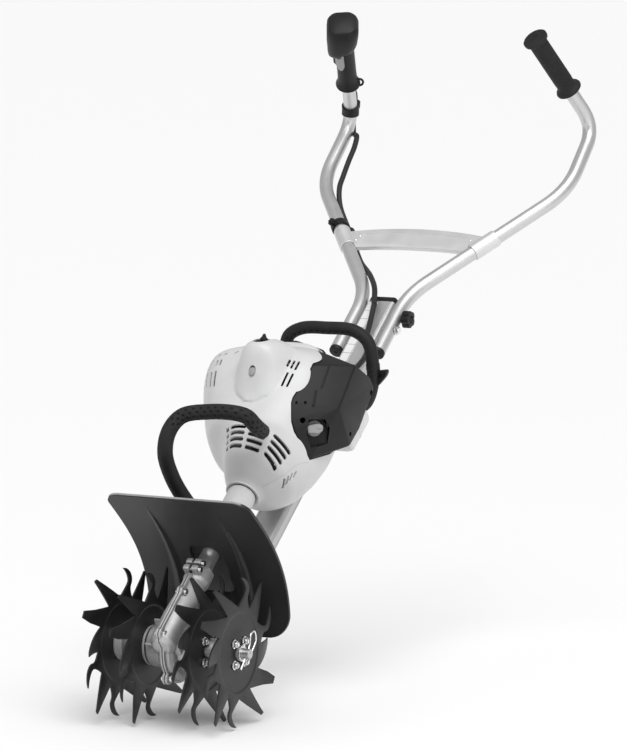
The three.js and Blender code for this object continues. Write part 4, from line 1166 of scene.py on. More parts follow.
def long_slot(turn_low, turn_high, along_low, along_high, width, reach=SLOT_REACH):
    """A slot tool that runs along the cover, through its wall, with round ends."""
    a = shroud_point(radians(turn_low), along_low)
    b = shroud_point(radians(turn_high), along_high)
    length = (b - a).length
    middle = (a + b) / 2
    out = Vector((middle.x, middle.y, 0)).normalized()
    run = (b - a).normalized()
    out = (out - run * out.dot(run)).normalized()
    outline = rounded_rectangle(width, length, width * 0.49, 4)
    across = run.cross(out)
    frame_of_slot = Matrix((
        (across.x, run.x, out.x, middle.x), (across.y, run.y, out.y, middle.y),
        (across.z, run.z, out.z, middle.z),
        (0, 0, 0, 1)))
    tool = prism(outline, -reach, reach)
    return moved(tool, frame_of_slot)


NOSE_ROWS = (327.5, 336.8, 345.6, 354.4)
NOSE_COLUMNS = ((-21.5, -15.5, 0, 0), (-13, 6.3, 0, 0), (10, 29, 0, 0), (35.3, 60.5, 1, -7.5))
RIGHT_SLOTS = ((23, 432, 459), (27, 433, 459), (20.5, 467, 482), (23.6, 467, 485), (27, 466, 486))
LEFT_LOW_SLOTS = ((-39, 431, 460.5), (-43.7, 434, 462), (-50, 441.5, 467.5), (-57, 448, 470))
LEFT_HIGH_SLOTS = ((-37.3, 470, 483), (-41, 471.5, 485), (-47, 471.5, 491.5), (-54, 474, 495))
TOP_SLOTS = ((-51, -48, 499, 501), (-44.3, -41, 496.5, 498.5), (-37.7, -35, 494, 497),
             (-29.3, -26.8, 494, 499.5))
BELLY_SLOTS = ((80.3, 84.7, 338.7, 330.6), (78.8, 85.2, 332.7, 324.4), (77.9, 88.4, 326.8, 319.5),
               (78.4, 93.1, 321.2, 315.4))
SEAM_ALONG = (301.7, 309.6, 317, 323.6, 345.5, 361)
SEAM_TURN = (71.7, 72.8, 73.2, 73.7, 75, 82)
SEAM_RADIUS = 0.55


def cover_cuts():
    tools = []
    for level in NOSE_ROWS:
        for low, high, start, end in NOSE_COLUMNS:
            tools.append(sector_slot(low, high, level + start, level + end, 5.8))
    for low, high, start, end in TOP_SLOTS:
        tools.append(sector_slot(low, high, start, end, 4))
    for turn, low, high in RIGHT_SLOTS:
        tools.append(long_slot(turn, turn, low, high, 3.6))
    for turn, low, high in LEFT_LOW_SLOTS + LEFT_HIGH_SLOTS:
        tools.append(long_slot(turn, turn, low, high, 6))
    for turn_high, turn_low, high, low in BELLY_SLOTS:
        tools.append(long_slot(turn_low, turn_high, low, high, 2.4, 6))
    return tools


def filter_hull(scale, base_x, top_x):
    """The filter cover's faceted hull, grown or shrunk about its middle, from one depth to another."""
    wall = max(FILTER_TOP_X - top_x, 0)
    corners = [(base_x, along, off) for along, off in FILTER_BASE] + [
        (top_x, along, off) for along, off in FILTER_TOP]
    corners += [(max(x - wall, base_x), along, off) for x, along, off in FILTER_SHOULDER]
    return hull([place(x, *((Vector((along, off)) - FILTER_CENTRE) * scale + FILTER_CENTRE)) for x, along,
                 off in corners])


FILTER_CENTRE = Vector((478, 70))
FILTER_BASE_X, FILTER_TOP_X = 62, 129
FILTER_BASE = [(498, 136), (440, 113), (396, 70), (399, 23), (430, 8), (500, 2), (548, 24), (556, 80),
               (541, 126)]
FILTER_TOP = [(441, 100), (525, 114), (553, 60), (551, 38), (475, 23), (433, 25)]
FILTER_SHOULDER = [(77, 489, 145), (66.5, 413, 137), (73, 386, 121), (79, 375, 109), (95, 366, 57)]
PLUG_ALONG = 436
PLUG_OVAL = 1.35
PLUG_FACING = (0, -1, -0.32)
BOOT_START, BOOT_END = Vector((0, -112, 446)), Vector((0, -147, 497))


def make_cover():
    shell = cover_shell()
    to_drive = put(0, DRIVE_OFFSET, 0)
    room = moved(filter_hull(1.015, FILTER_BASE_X - 1, FILTER_TOP_X + 20), to_drive)
    mount_hole = block((-18, 20, 423), (18, 110, 455))
    boot_notch = moved(prism(rounded_rectangle(25, 44, 12, 6), 125, 175), spin(pi / 2, "X"), put(0, 0, 497))
    plug_seat = stand_at(prism([(x, PLUG_OVAL * y) for x, y in circle(6.3, 32)], -8, 8),
                         shroud_point(0, PLUG_ALONG), PLUG_FACING)
    levels = [SEAM_ALONG[0] + (SEAM_ALONG[-1] - SEAM_ALONG[0]) * i / 24 for i in range(25)]
    seam = [shroud_point(radians(along_stations(SEAM_ALONG, SEAM_TURN, level)), level) for level in levels]
    shell = cut(shell, room, mount_hole, boot_notch, plug_seat, sweep(seam, SEAM_RADIUS, 6), *cover_cuts())
    cover = piece("engine_cover", shell, DRIVE, white_plastic, "engine_shroud", sharp=34)
    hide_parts("clutch_housing")

    dome = turned("z", [(0, -2), (5.9, -2), (5.9, 0.6), (5, 1.5), (2, 2), (0, 2)], 32)
    for vertex in dome.vertices:
        vertex.co.y *= PLUG_OVAL
    plug = stand_at(dome, shroud_point(0, PLUG_ALONG, -1.2), PLUG_FACING)
    detail("cover_plug", plug, DRIVE, part_grey, "engine_shroud")

    collar = turned("z", [(25.3, 292.4), (28, 292.4), (28, 297), (25.3, 297), (25.3, 292.4)], 96, edge=0.6)
    detail("nose_collar", collar, DRIVE, white_plastic, "clutch_housing")


def make_boot():
    path = [BOOT_START.lerp(BOOT_END, i / 24) for i in range(25)]

    def swelling(along, *_):
        return 6.2 + 0.7 * (sin(along * 1.1) > 0.3) * (along < 45)

    boot = sweep(path, swelling, 32, cap=3, first_side=(1, 0, 0))
    tab = bevelled(block((-2, -153, 489), (2, -145, 503)), 1, 2)
    piece("spark_plug_boot_moulded", join(boot, tab), DRIVE, grip_black, "spark_plug_boot")


make_cover()
make_boot()

# ---- Air filter cover and choke ----

CHOKE_AXIS = Vector((0.617, -0.55, -0.562)).normalized()
CHOKE_CENTRE = place(99, 402.5, 89.6)
RECESS = [place(*corner) for corner in (
    (88.8, 406.3, 105.2), (110.2, 419.4, 94.5), (117.7, 413.7, 80.3), (116.9, 396.2, 63.4),
    (94.8, 378.6, 70.1),
    (87.1, 388.3, 88.7))]


def recess_tool(scale, low, high):
    """The choke's six-sided recess, from one depth to another along the choke's axis."""
    flat = [point - CHOKE_AXIS * (point - CHOKE_CENTRE).dot(CHOKE_AXIS) for point in RECESS]
    flat = [CHOKE_CENTRE + (point - CHOKE_CENTRE) * scale for point in flat]
    return hull([point + CHOKE_AXIS * depth for point in flat for depth in (low, high)])


def make_filter_cover():
    outer = bevelled(filter_hull(1, FILTER_BASE_X, FILTER_TOP_X), 2.6, 4, 12)
    inner = filter_hull(0.94, FILTER_BASE_X - 1, FILTER_TOP_X - 3)
    holes = [stand_at(rod("z", radius, -9, 14, 24), place(*at), CHOKE_AXIS)
             for radius, at in ((2.4, (73, 415.4, 132.1)), (2.4, (84.7, 422.5, 126.3)),
                                (4.6, (81.1, 400.8, 108.1)))]
    holes.append(stand_at(rod("z", 3.6, -9, 14, 24), place(128.3, 445, 39.5), (1, 0, 0)))
    holes.append(stand_at(rod("z", 4.6, -10, 14, 24), place(129, 540, 40), (1, 0, 0)))
    shell = cut(outer, inner, recess_tool(1, -12, 22), *holes)
    ribs = []
    for start, end in (((96.6, 499.5, 131.7), (97.6, 459.4, 124.2)),
                       ((92.7, 449.7, 126.3), (96.4, 423.9, 119.2)),
                       ((125, 525, 114), (125, 441, 100))):
        path = [place(*start).lerp(place(*end), i / 12) for i in range(13)]
        ribs.append(sweep(path, 1.9, 12, cap=1.5, first_side=(1, 0, 0)))
    piece("air_filter_cover_moulded", join(shell, *ribs), SLOPING, housing_black, "air_filter_cover",
          sharp=24)
    detail("choke_recess_floor", recess_tool(0.97, -14, -12.3), SLOPING, housing_black, "air_filter_cover")
    make_gasket()


def make_gasket():
    """A thin pale seal that shows as a line round the filter cover."""
    rim = [place(FILTER_BASE_X, *((Vector(corner) - FILTER_CENTRE) * 1.005 + FILTER_CENTRE))
           for corner in FILTER_BASE]
    loop = [point for a, b in zip(rim, [*rim[1:], rim[0]])
            for point in (a.lerp(b, step / 6) for step in range(6))]
    rings = []
    for i, point in enumerate(loop):
        ahead = (loop[(i + 1) % len(loop)] - loop[i - 1]).normalized()
        out = ahead.cross(Vector((1, 0, 0)))
        rings.append([point + out * 1.5 * cos(a) + Vector((1.5 * sin(a) - 1, 0, 0))
                      for a in (pi * k / 4 for k in range(8))])
    detail("air_filter_gasket", skin(rings, loop=True), SLOPING, part_grey, "air_filter_cover")


def make_choke():
    dial = rod("z", 12.6, -12, -8, 48, edge=1)
    lobe = softened([(-6, -13), (6, -13), (7, -4), (9, 3), (5, 12), (-4, 13), (-8, 5), (-7, -4)], 4, 5)
    lever = bevelled(prism(lobe, -9, 3), 1.8, 3, 40)
    pointer = bevelled(block((-1, 3, 2), (1, 11, 4.2)), 0.5, 1)
    knob = stand_at(join(dial, lever, pointer), CHOKE_CENTRE, CHOKE_AXIS)
    piece("choke_knob_moulded", knob, SLOPING, pale_grey, "choke_knob")


make_filter_cover()
make_choke()

# ---- Starter housing, grip, tank and cap ----

STARTER_STATIONS = (548.6, 572, 588)
STARTER = {"left": (96, 84, 58), "right": (57, 55, 44), "front": (80, 70, 50), "back": (44, 38, 28),
           "power": (2.8, 2.6, 2.4)}


def starter_rings(inset, levels):
    rings = []
    for along in levels:
        section = section_at(STARTER, STARTER_STATIONS, along)
        ring_points = []
        for turn in even_turns(120):
            x, off = sin(turn), cos(turn)
            radius = in_section(section, x, off) ** (-1 / section["power"]) - inset
            ring_points.append(Vector((radius * x, -radius * off, along)))
        rings.append(ring_points)
    return rings


def make_starter_housing():
    levels = [548.6 + 39.4 * i / 24 for i in range(25)]
    outer = starter_rings(0, levels)
    inner = starter_rings(3, [level - 3 * (level > 550) for level in levels])
    inner[0] = [point - Vector((0, 0, 1)) for point in inner[0]]
    shell = cut(skin(outer), skin(inner))
    slots = []
    for turn in (start + 0.2 for start in even_turns(14)):
        if abs(cos(turn)) > 0.9 and cos(turn) > 0:
            continue
        slot = prism(rounded_rectangle(18, 3.6, 1.7, 4), 570, 600)
        slots.append(moved(slot, put(30, 0, 0), spin(turn, "Z")))
    shell = join(cut(shell, *slots), rod("z", 6, 527, 587, 32, edge=0.8))
    piece("starter_housing_moulded", shell, DRIVE, housing_pale, "starter_housing", sharp=34)
    pulley = turned("z", [(6.3, 530), (30, 530), (30, 532), (26, 534), (30, 536), (30, 538), (6.3, 538),
                          (6.3, 530)],
                    64, edge=0.4)
    piece("starter_pulley_turned", pulley, DRIVE, part_grey, "starter_pulley")


STARTER_GRIP = place(0, 600, 70)
GRIP_TILT = 0.38


def make_starter_grip():
    profile = softened([(0, -30), (5, -30), (8.6, -24), (8.8, -12), (7.4, 0), (8.8, 12), (8.6, 24), (5, 30),
                        (0, 30)],
                       3, 4, closed=False)
    bar = turned("x", [tuple(point) for point in profile], 40)
    for vertex in bar.vertices:
        vertex.co.z *= 0.85
    grooves = [ring("x", 12, 7.9, x - 0.7, x + 0.7, 40) for x in (-21, -16, 16, 21)]
    bar = moved(cut(bar, *grooves), spin(GRIP_TILT, "Z"))
    stem = moved(rod("-y", 5, -10, 2, 32, edge=1), spin(-0.5, "X"))
    grip = moved(join(bar, stem), Matrix.Translation(STARTER_GRIP))
    piece("starter_grip_moulded", grip, SLOPING, grip_black, "starter_grip")


def make_tank():
    outline = rounded_rectangle(176, 35, 12, 8)
    upper = turned_prism(outline, 518, 562, 7)
    lower = moved(turned_prism(outline, -518, -484, 7), spin(pi, "X"))
    seam = cut(prism([(1.006 * x, 1.03 * y) for x, y in outline], 516.6, 519.4),
               prism([(0.98 * x, 0.94 * y) for x, y in outline], 510, 530))
    middle = put(9, 27.5, 0)
    tank = moved(join(upper, lower, seam), middle)
    bore = moved(rod("x", 10.4, -102, -60, 40), put(0, 27, 520))
    room = moved(prism(rounded_rectangle(170, 29, 9, 6), 487, 559), middle)
    piece("fuel_tank_blown", cut(tank, room, bore), SLOPING, tank_white, "fuel_tank", sharp=40)

    cap = rod("x", 15.4, -13, -0.4, 60, edge=1.4)
    flutes = [moved(rod("x", 1.7, -14, 1, 12), put(0, 16.2 * cos(a), 16.2 * sin(a))) for a in even_turns(20)]
    bar = bevelled(block((-16, -2.2, -11), (-12, 2.2, 11)), 1, 2)
    plug = rod("x", 9.5, -4, 8, 32)
    cap = moved(join(cut(cap, *flutes), bar, plug), Matrix.Translation(place(-79, 520, -27)))
    piece("fuel_cap_moulded", cap, SLOPING, housing_black, "fuel_cap")


make_starter_housing()
make_starter_grip()
make_tank()

# ---- Carrying loops: soft grip sleeves with dimples ----

TOWARDS_VIEW = Vector((0.45, -0.63, -0.64))


def dimpled(plain, rows, pitch, depth, wanted):
    """A radius for sweep: slanting oval dimples in staggered rows, where wanted(along, out) is above zero."""
    def radius(along, out, ahead):
        amount = wanted(along, out)
        if amount <= 0:
            return plain
        zero = (TOWARDS_VIEW - ahead * TOWARDS_VIEW.dot(ahead)).normalized()
        turn = atan2(out.dot(ahead.cross(zero)), out.dot(zero)) / (2 * pi) * rows
        row = round(turn)
        across = (turn - row) / rows * 2 * pi * plain
        run = along / pitch + (row % 2) / 2
        run = (run - round(run)) * pitch
        slant_run, slant_across = run + 0.45 * across, across - 0.2 * run
        away = (slant_run / 3.0) ** 2 + (slant_across / 2.0) ** 2
        return plain - depth * amount * max(1 - away, 0) ** 0.6
    return radius


def loop_path(corners, steps):
    return spline([place(*corner) for corner in corners], steps)


def make_front_loop():
    path = loop_path([
        (-27, 211, 52), (-54, 221, 98), (-66, 228, 140), (-68, 238, 182), (-63, 262, 206), (-48, 287, 215),
        (-6, 300, 215), (36, 303, 213), (52, 308, 202), (56, 314, 180), (51, 329, 154), (46, 340, 139)], 560)

    def wanted(along, out):
        lower = smooth_step((along - 95) / 12)
        outer = smooth_step((along - 175) / 12) or smooth_step((-out.x - 0.1) / 0.3)
        return lower * outer

    bar = sweep(path, dimpled(12.3, 11, 12.4, 2.3, wanted), 96, cap=6, first_side=(0, 0, 1))
    clamp = shifted(turned("z", [(23.9, 203), (30, 203), (31, 204), (31, 225), (30, 226), (23.9, 226),
                                 (23.9, 203)],
                           80), y=-DRIVE_OFFSET)
    foot = sweep([path[0], path[28]], 14, 40, cap=3)
    inside = shifted(rod("z", 23.9, 150, 270, 80), y=-DRIVE_OFFSET)
    piece("front_loop_grip", bar, SLOPING, grip_black, "front_handle", sharp=50)
    detail("front_loop_clamp", cut(join(clamp, foot), inside), SLOPING, housing_black, "front_handle")
    ahead = path[-1] - path[-8]
    boss = turned("z", [(0, 0), (8, 0), (8, 3), (6.5, 5), (0, 5)], 40)
    seat = stand_at(boss, path[-1] + ahead.normalized() * 3, ahead)
    detail("front_loop_end", seat, SLOPING, housing_black, "front_handle")


HOOK_TURN = 2.63
REAR_LOOP_STEPS = 520


def make_rear_loop():
    path = loop_path([
        (-36, 600, -63), (-58, 606, -48), (-70, 622, -15), (-73, 640, 18), (-66, 655, 45), (-40, 661, 59),
        (8, 662, 62), (55, 661, 60), (80, 652, 46), (87, 636, 18), (84, 616, -18), (66, 604, -50),
        (36, 600, -63)],
        REAR_LOOP_STEPS)
    middle = place(5, 632, 0)
    length = lengths_along(path)[-1]

    def wanted(along, out):
        share = along / length
        near = path[min(int(share * REAR_LOOP_STEPS), REAR_LOOP_STEPS)]
        to_middle = (middle - near).normalized()
        return smooth_step((out.dot(to_middle) + 0.05) / 0.35) * smooth_step((share - 0.22) / 0.04) * \
            smooth_step((0.74 - share) / 0.04)

    bar = sweep(path, dimpled(10.6, 10, 11.5, 2.1, wanted), 96, cap=4, first_side=(0, 0, 1))
    rings = []
    for share in (0.215, 0.755):
        at = int(share * REAR_LOOP_STEPS)
        rings.append(sweep(path[at:at + 12], 11.4, 40, cap=1))
    piece("rear_loop_grip", join(bar, *rings), SLOPING, grip_black, "rear_handle", sharp=50)
    outline = softened([(-6, -24), (0, -25), (13, -14), (26, 0), (29, 8), (27, 11), (20, 10), (12, 8.5),
                        (7, 14),
                        (2, 26), (-6, 26)], 4, 4)
    horn = bevelled(prism(outline, -5, 5), 2, 3, 40)
    groove_tool = prism(softened([(4, -12), (14, -3), (20, 4), (12, 4), (5, 6)], 3, 3), 2.6, 8)
    horn = cut(horn, groove_tool)
    horn = moved(horn, spin(HOOK_TURN, "X"), put(85, 4, 625))
    detail("rear_loop_hook", horn, SLOPING, housing_black, "rear_handle")


make_front_loop()
make_rear_loop()

# ---- Handlebar ----

GRIP_CORNER = (233, 1306, -42)
GRIP_END = (184, 1289, 158)
GRIP_BEND_RADIUS = 46
CROSSBAR_ALONG = 1006
CROSSBAR_TILT = atan2(234 - TUBE_SPACING, 1152 - 872)


def on_side(side, corner):
    """A point of the right-hand half, or its mirror image."""
    across, along, off = corner
    return place(side * across, along, off)


def tube_path(side):
    corners = [(TUBE_SPACING, TUBE_BOTTOM, -TUBE_OFFSET), (TUBE_SPACING, 872, -TUBE_OFFSET),
               (234, 1152, -TUBE_OFFSET), GRIP_CORNER, GRIP_END]
    return bent_path([on_side(side, corner) for corner in corners], (46, 50, GRIP_BEND_RADIUS),
                     260)


def make_tubes():
    for name, side in (("left", -1), ("right", 1)):
        path = tube_path(side)
        tube = sweep(path, TUBE_RADIUS, 64, cap=0, first_side=(0, 1, 0))
        hole = shifted(rod("x", 4.3, -80, 80, 32), y=TUBE_OFFSET, z=PIVOT_ALONG)
        piece(f"handle_tube_{name}_bent", cut(tube, hole), SLOPING, tube_metal, f"handle_tube_{name}")
        plug = turned("z", [(0, -6.6), (10, -6.6), (11.6, -6.2), (12.1, -5), (12.1, -0.3), (0, -0.3)], 64)
        plug = shifted(cut(plug, rod("z", 2.2, -9, -5.6, 24)), x=side * TUBE_SPACING, y=TUBE_OFFSET,
                       z=TUBE_BOTTOM)
        piece(f"tube_plug_{name}_moulded", plug, SLOPING, housing_black, f"tube_plug_{name}")


def bowed(x0, y0, control, x1, y1):
    """Points of a bowed edge from one corner towards another."""
    points = []
    for step in range(24):
        t = step / 24
        points.append((x0 * (1 - t) ** 2 + control[0] * 2 * t * (1 - t) + x1 * t * t,
                       y0 * (1 - t) ** 2 + control[1] * 2 * t * (1 - t) + y1 * t * t))
    return points


def make_crossbar():
    lower = bowed(-118, 982, (0, 996), 118, 982)
    upper = bowed(142, 1020, (0, 1052), -142, 1020)
    plate = bevelled(prism(lower + [(118, 982)] + upper + [(-142, 1020)], -4.6, 4.6), 1.6, 3, 50)
    pocket = [(0.86 * x, (y - 1009) * 0.62 + 1010) for x, y in
              bowed(-112, 990, (0, 1004), 112, 990) + bowed(124, 1020, (0, 1046), -124, 1020)]
    plate = cut(plate, prism(pocket, 4.0, 8))
    plate = moved(plate, spin(pi / 2, "X"), put(0, TUBE_OFFSET, 0))
    collars, bores = [], []
    for side in (-1, 1):
        turn = spin(side * CROSSBAR_TILT, "Y")
        at = put(side * 131.5, TUBE_OFFSET, CROSSBAR_ALONG)
        collars.append(moved(turned("z", [(0, -25), (13.6, -25), (14.5, -24), (14.5, 24), (13.6, 25),
                                          (0, 25)], 64), turn, at))
        bores.append(moved(rod("z", TUBE_RADIUS + 0.25, -90, 90, 64), turn, at))
    body = cut(join(plate, *collars), *bores)
    piece("crossbar_cast", body, SLOPING, plate_metal, "crossbar")
    rivets = []
    for x, along in ((-108, 1001), (108, 1001), (-104, 1012), (104, 1012)):
        dome = turned("z", [(0, 0), (2.4, 0), (2.2, 0.8), (1.2, 1.4), (0, 1.6)], 24)
        rivets.append(stand_at(dome, (x, TUBE_OFFSET - 4.5, along), (0, -1, 0)))
    detail("crossbar_rivets", all_in_one(rivets), SLOPING, bright_steel, "crossbar")


def make_pivot():
    half = TUBE_SPACING + TUBE_RADIUS
    shank = rod("x", 4, -half - 3, half + 3, 40)
    head = shifted(moved(hex_head(6.8, 6.2), TURN_TO["x"]), x=half + 0.6)
    nut = shifted(moved(hex_head(6.8, 6.2), spin(pi, "X"), TURN_TO["x"], spin(pi, "Z")), x=-half - 0.6)
    bolt = moved(join(shank, head, nut), put(0, TUBE_OFFSET, PIVOT_ALONG))
    piece("pivot_bolt_turned", bolt, SLOPING, bright_steel, "pivot_bolt")

    outline = []
    for turn in even_turns(120):
        lobe = abs(sin(2.5 * turn)) ** 0.7
        outline.append(((11.6 + 3.2 * lobe) * cos(turn), (11.6 + 3.2 * lobe) * sin(turn)))
    lobes = bevelled(prism(outline, 4.4, 17.6), 1.3, 3, 60)
    hub = turned("z", [(0, 0.5), (6.8, 0.5), (6.8, 8), (0, 8)], 40)
    dish = turned("z", [(0, 15.6), (6, 15.6), (7.2, 18.5), (0, 18.5)], 40)
    knob = join(cut(join(lobes, hub), dish), rod("z", 3, 12, 17, 24, edge=0.5))
    knob = moved(knob, TURN_TO["x"], put(half, TUBE_OFFSET, 815))
    piece("star_knob_moulded", knob, SLOPING, housing_black, "star_knob")


make_tubes()
make_crossbar()
make_pivot()

# ---- Grips ----


def grip_space(side):
    """A space with Z along the grip and X inwards, about the tube's last corner."""
    corner = on_side(side, GRIP_CORNER)
    along = (on_side(side, GRIP_END) - corner).normalized()
    inward = Vector((-side, 0, 0.35))
    inward = (inward - along * inward.dot(along)).normalized()
    third = along.cross(inward)
    turn = Matrix((inward, third, along)).transposed().to_4x4()
    return SLOPING @ Matrix.Translation(corner) @ turn


TUBE_END = (place(*GRIP_END) - place(*GRIP_CORNER)).length
RIGHT_GRIP, LEFT_GRIP = grip_space(1), grip_space(-1)


def make_right_grip():
    end = TUBE_END + 10
    profile = [(12.3, 91), (21.5, 91), (22.6, 92), (23, 94), (22, 96.5), (19, 99), (16.6, 103), (16, 108)]
    for level in range(113, int(end) - 16, 5):
        profile += [(16.1, level), (16.4, level + 0.8), (16.4, level + 3.6), (16.1, level + 4.4)]
    profile += [(16.2, end - 11), (19, end - 8), (21.6, end - 6), (22, end - 4), (22, end - 1), (21, end),
                (8, end), (7, end - 1), (0, end - 1), (0, TUBE_END + 1), (12.3, TUBE_END + 1), (12.3, 91)]
    grip = turned("z", profile, 96)
    flutes = [moved(rod("z", 0.5, 109, end - 12, 8), put(16.6, 0, 0), spin(a, "Z")) for a in even_turns(18)]
    piece("grip_right_moulded", cut(grip, *flutes), RIGHT_GRIP, grip_black, "grip_right", sharp=40)


HOOD = ((186, 36, 39, 0.3, -2), (189, 45, 46, 0.3, -3), (194, 50, 52, 0.3, -3), (202, 53, 56, 0.26, -2),
        (212, 54, 59, 0.2, -1), (225, 56, 61, 0.12, 0), (236, 56, 61, 0.05, 1), (244, 53, 58, 0, 1),
        (249, 47, 52, 0, 1), (251, 38, 44, 0, 1))
LEVER_PIVOT = 178
LOCK_TURN = 2.44
STOP_BUTTON_TURN = -0.58
STOP_BUTTON_LEVEL = 178
PANEL_LEVEL = 168


def make_control_handle():
    profile = [(0, 92), (20, 92), (21, 93), (21, 99), (20, 101), (18, 106), (17, 112), (16.6, 128),
               (16.8, 158),
               (17, 194), (0, 194)]
    grip = turned("z", profile, 96)
    hood = skin([[Vector((x + centre, y - 3, level + tilt * x))
                  for x, y in rounded_rectangle(width, depth, min(width, depth) * 0.34, 10)]
                 for level, width, depth, tilt, centre in HOOD])
    ribs = [ring("z", 21.6, 16, level, level + 1.2, 72, edge=0.3) for level in (94.5, 96.8)]
    tools = [rod("z", TUBE_RADIUS + 0.3, 80, TUBE_END + 1, 64),
             block((-5, 13, LEVER_PIVOT - 58), (5, 40, LEVER_PIVOT + 4)),
             moved(block((-40, -4.5, LEVER_PIVOT - 50), (-13, 4.5, LEVER_PIVOT + 2)),
                   spin(LOCK_TURN - pi, "Z")),
             moved(rod("-y", 4.3, 10, 30, 40), put(0, 0, STOP_BUTTON_LEVEL), spin(STOP_BUTTON_TURN, "Z"))]
    body = cut(join(grip, hood, *ribs), *tools)
    piece("control_handle_moulded", body, LEFT_GRIP, housing_black, "control_handle")

    outline = softened([(-9, 22), (9, 22), (9, -12), (4, -24), (-4, -24), (-9, -12)], 3, 4)
    panel = cut(bevelled(prism(outline, 0, 2.6), 0.7, 2),
                shifted(rod("z", 4.2, -1, 4, 32), y=STOP_BUTTON_LEVEL - PANEL_LEVEL))
    panel = moved(panel, spin(pi / 2, "X"), put(0, -15.8, PANEL_LEVEL), spin(STOP_BUTTON_TURN, "Z"))
    detail("control_panel", panel, LEFT_GRIP, part_grey, "control_handle")
    eye = [Vector((20 + 6.5 * cos(a), 0, 97 + 8 * sin(a))) for a in (pi * i / 20 for i in range(-15, 16))]
    detail("control_handle_eye", sweep(eye, 2, 16, cap=1), LEFT_GRIP, housing_black, "control_handle")


def lever(reach, length, width):
    """A lever hinged near the head, on its own pivot line along Y."""
    outline = bowed(-1.5, 2, (reach * 1.3, -length * 0.35), reach, -length)
    outline += bowed(reach - 5, -length, (reach * 0.4, -length * 0.4), -1.5, -6)
    shape = bevelled(prism(outline, -width / 2, width / 2), 0.9, 2, 50)
    return moved(shape, spin(pi / 2, "X"))


def make_levers():
    trigger = moved(lever(14, 54, 8), spin(pi / 2, "Z"), put(0, 16.5, LEVER_PIVOT))
    piece("throttle_trigger_moulded", trigger, LEFT_GRIP, housing_black, "throttle_trigger")
    lock = moved(lever(10, 44, 7), put(16.5, 0, LEVER_PIVOT - 2), spin(LOCK_TURN, "Z"))
    piece("throttle_lock_moulded", lock, LEFT_GRIP, housing_black, "throttle_lock")
    button = turned("-y", [(0, 0), (3.5, 0), (3.5, 5.6), (3.1, 6.6), (2, 7), (1.2, 6.3), (0, 6)], 40)
    button = moved(button, put(0, -15, STOP_BUTTON_LEVEL), spin(STOP_BUTTON_TURN, "Z"))
    piece("stop_button_moulded", button, LEFT_GRIP, dark_grey, "stop_button")


make_right_grip()
make_control_handle()
make_levers()

# ---- Cable clips and throttle cable ----

SADDLE_REACH = 24
CABLE_RADIUS = 4.7
TUBE_BEND = place(-234, 1152, -TUBE_OFFSET)
LOWER_RUN = (TUBE_BEND - place(-TUBE_SPACING, 872, -TUBE_OFFSET)).normalized()
CORNER = on_side(-1, GRIP_CORNER)
UPPER_RUN = (CORNER - TUBE_BEND).normalized()
GRIP_RUN = (on_side(-1, GRIP_END) - CORNER).normalized()


def clip_place(run, distance, towards):
    """Where a clip sits on the left tube, and which way its saddle points."""
    centre = TUBE_BEND + run * distance
    across = (towards - run * towards.dot(run)).normalized()
    return {"run": run, "centre": centre, "across": across, "seat": centre + across * SADDLE_REACH}


def round_the_bend(angle, outside):
    """A point at a distance outside the tube's last bend; angle 0 is where the grip's run starts."""
    radius = GRIP_BEND_RADIUS + outside
    return (CORNER + GRIP_RUN * (GRIP_BEND_RADIUS - radius * sin(angle))
            + UPPER_RUN * (radius * cos(angle) - GRIP_BEND_RADIUS))


MIDDLE_CLIP = clip_place(LOWER_RUN, -140, Vector((1, 1.3, 0)))
TOP_CLIP_ANGLE = 0.35
TOP_CLIP = {
    "run": (GRIP_RUN * cos(TOP_CLIP_ANGLE) + UPPER_RUN * sin(TOP_CLIP_ANGLE)).normalized(),
    "centre": round_the_bend(TOP_CLIP_ANGLE, 0),
    "across": (round_the_bend(TOP_CLIP_ANGLE, SADDLE_REACH) - round_the_bend(TOP_CLIP_ANGLE, 0)).normalized(),
    "seat": round_the_bend(TOP_CLIP_ANGLE, SADDLE_REACH)}


def clip_saddle():
    return shifted(rod("z", 9.4, -6, 6, 48, edge=1), x=SADDLE_REACH)


def clip_bore():
    return shifted(rod("z", CABLE_RADIUS + 0.2, -20, 20, 40), x=SADDLE_REACH)


def make_middle_clip():
    band = turned("z", [(12.3, -7), (15, -7), (15.5, -6.4), (15.5, 6.4), (15, 7), (12.3, 7), (12.3, -7)], 64)
    lug = bevelled(block((-24, -4.5, -5.5), (-13, 4.5, 5.5)), 1.4, 3)
    screw = shifted(rod("-y", 3.4, -6, 6.4, 32, edge=0.5), x=-20)
    bores = [rod("z", TUBE_RADIUS + 0.2, -20, 20, 64), clip_bore()]
    clip = cut(join(band, clip_saddle(), lug, screw), *bores, block((-30, -0.6, -8), (-12.5, 0.6, 8)))
    piece("cable_clip_middle_moulded", moved(clip, clip_frame(MIDDLE_CLIP)), SLOPING, housing_black,
          "cable_clip_middle")


def clip_frame(at):
    turn = Matrix((at["across"], at["run"].cross(at["across"]), at["run"])).transposed().to_4x4()
    return Matrix.Translation(at["centre"]) @ turn


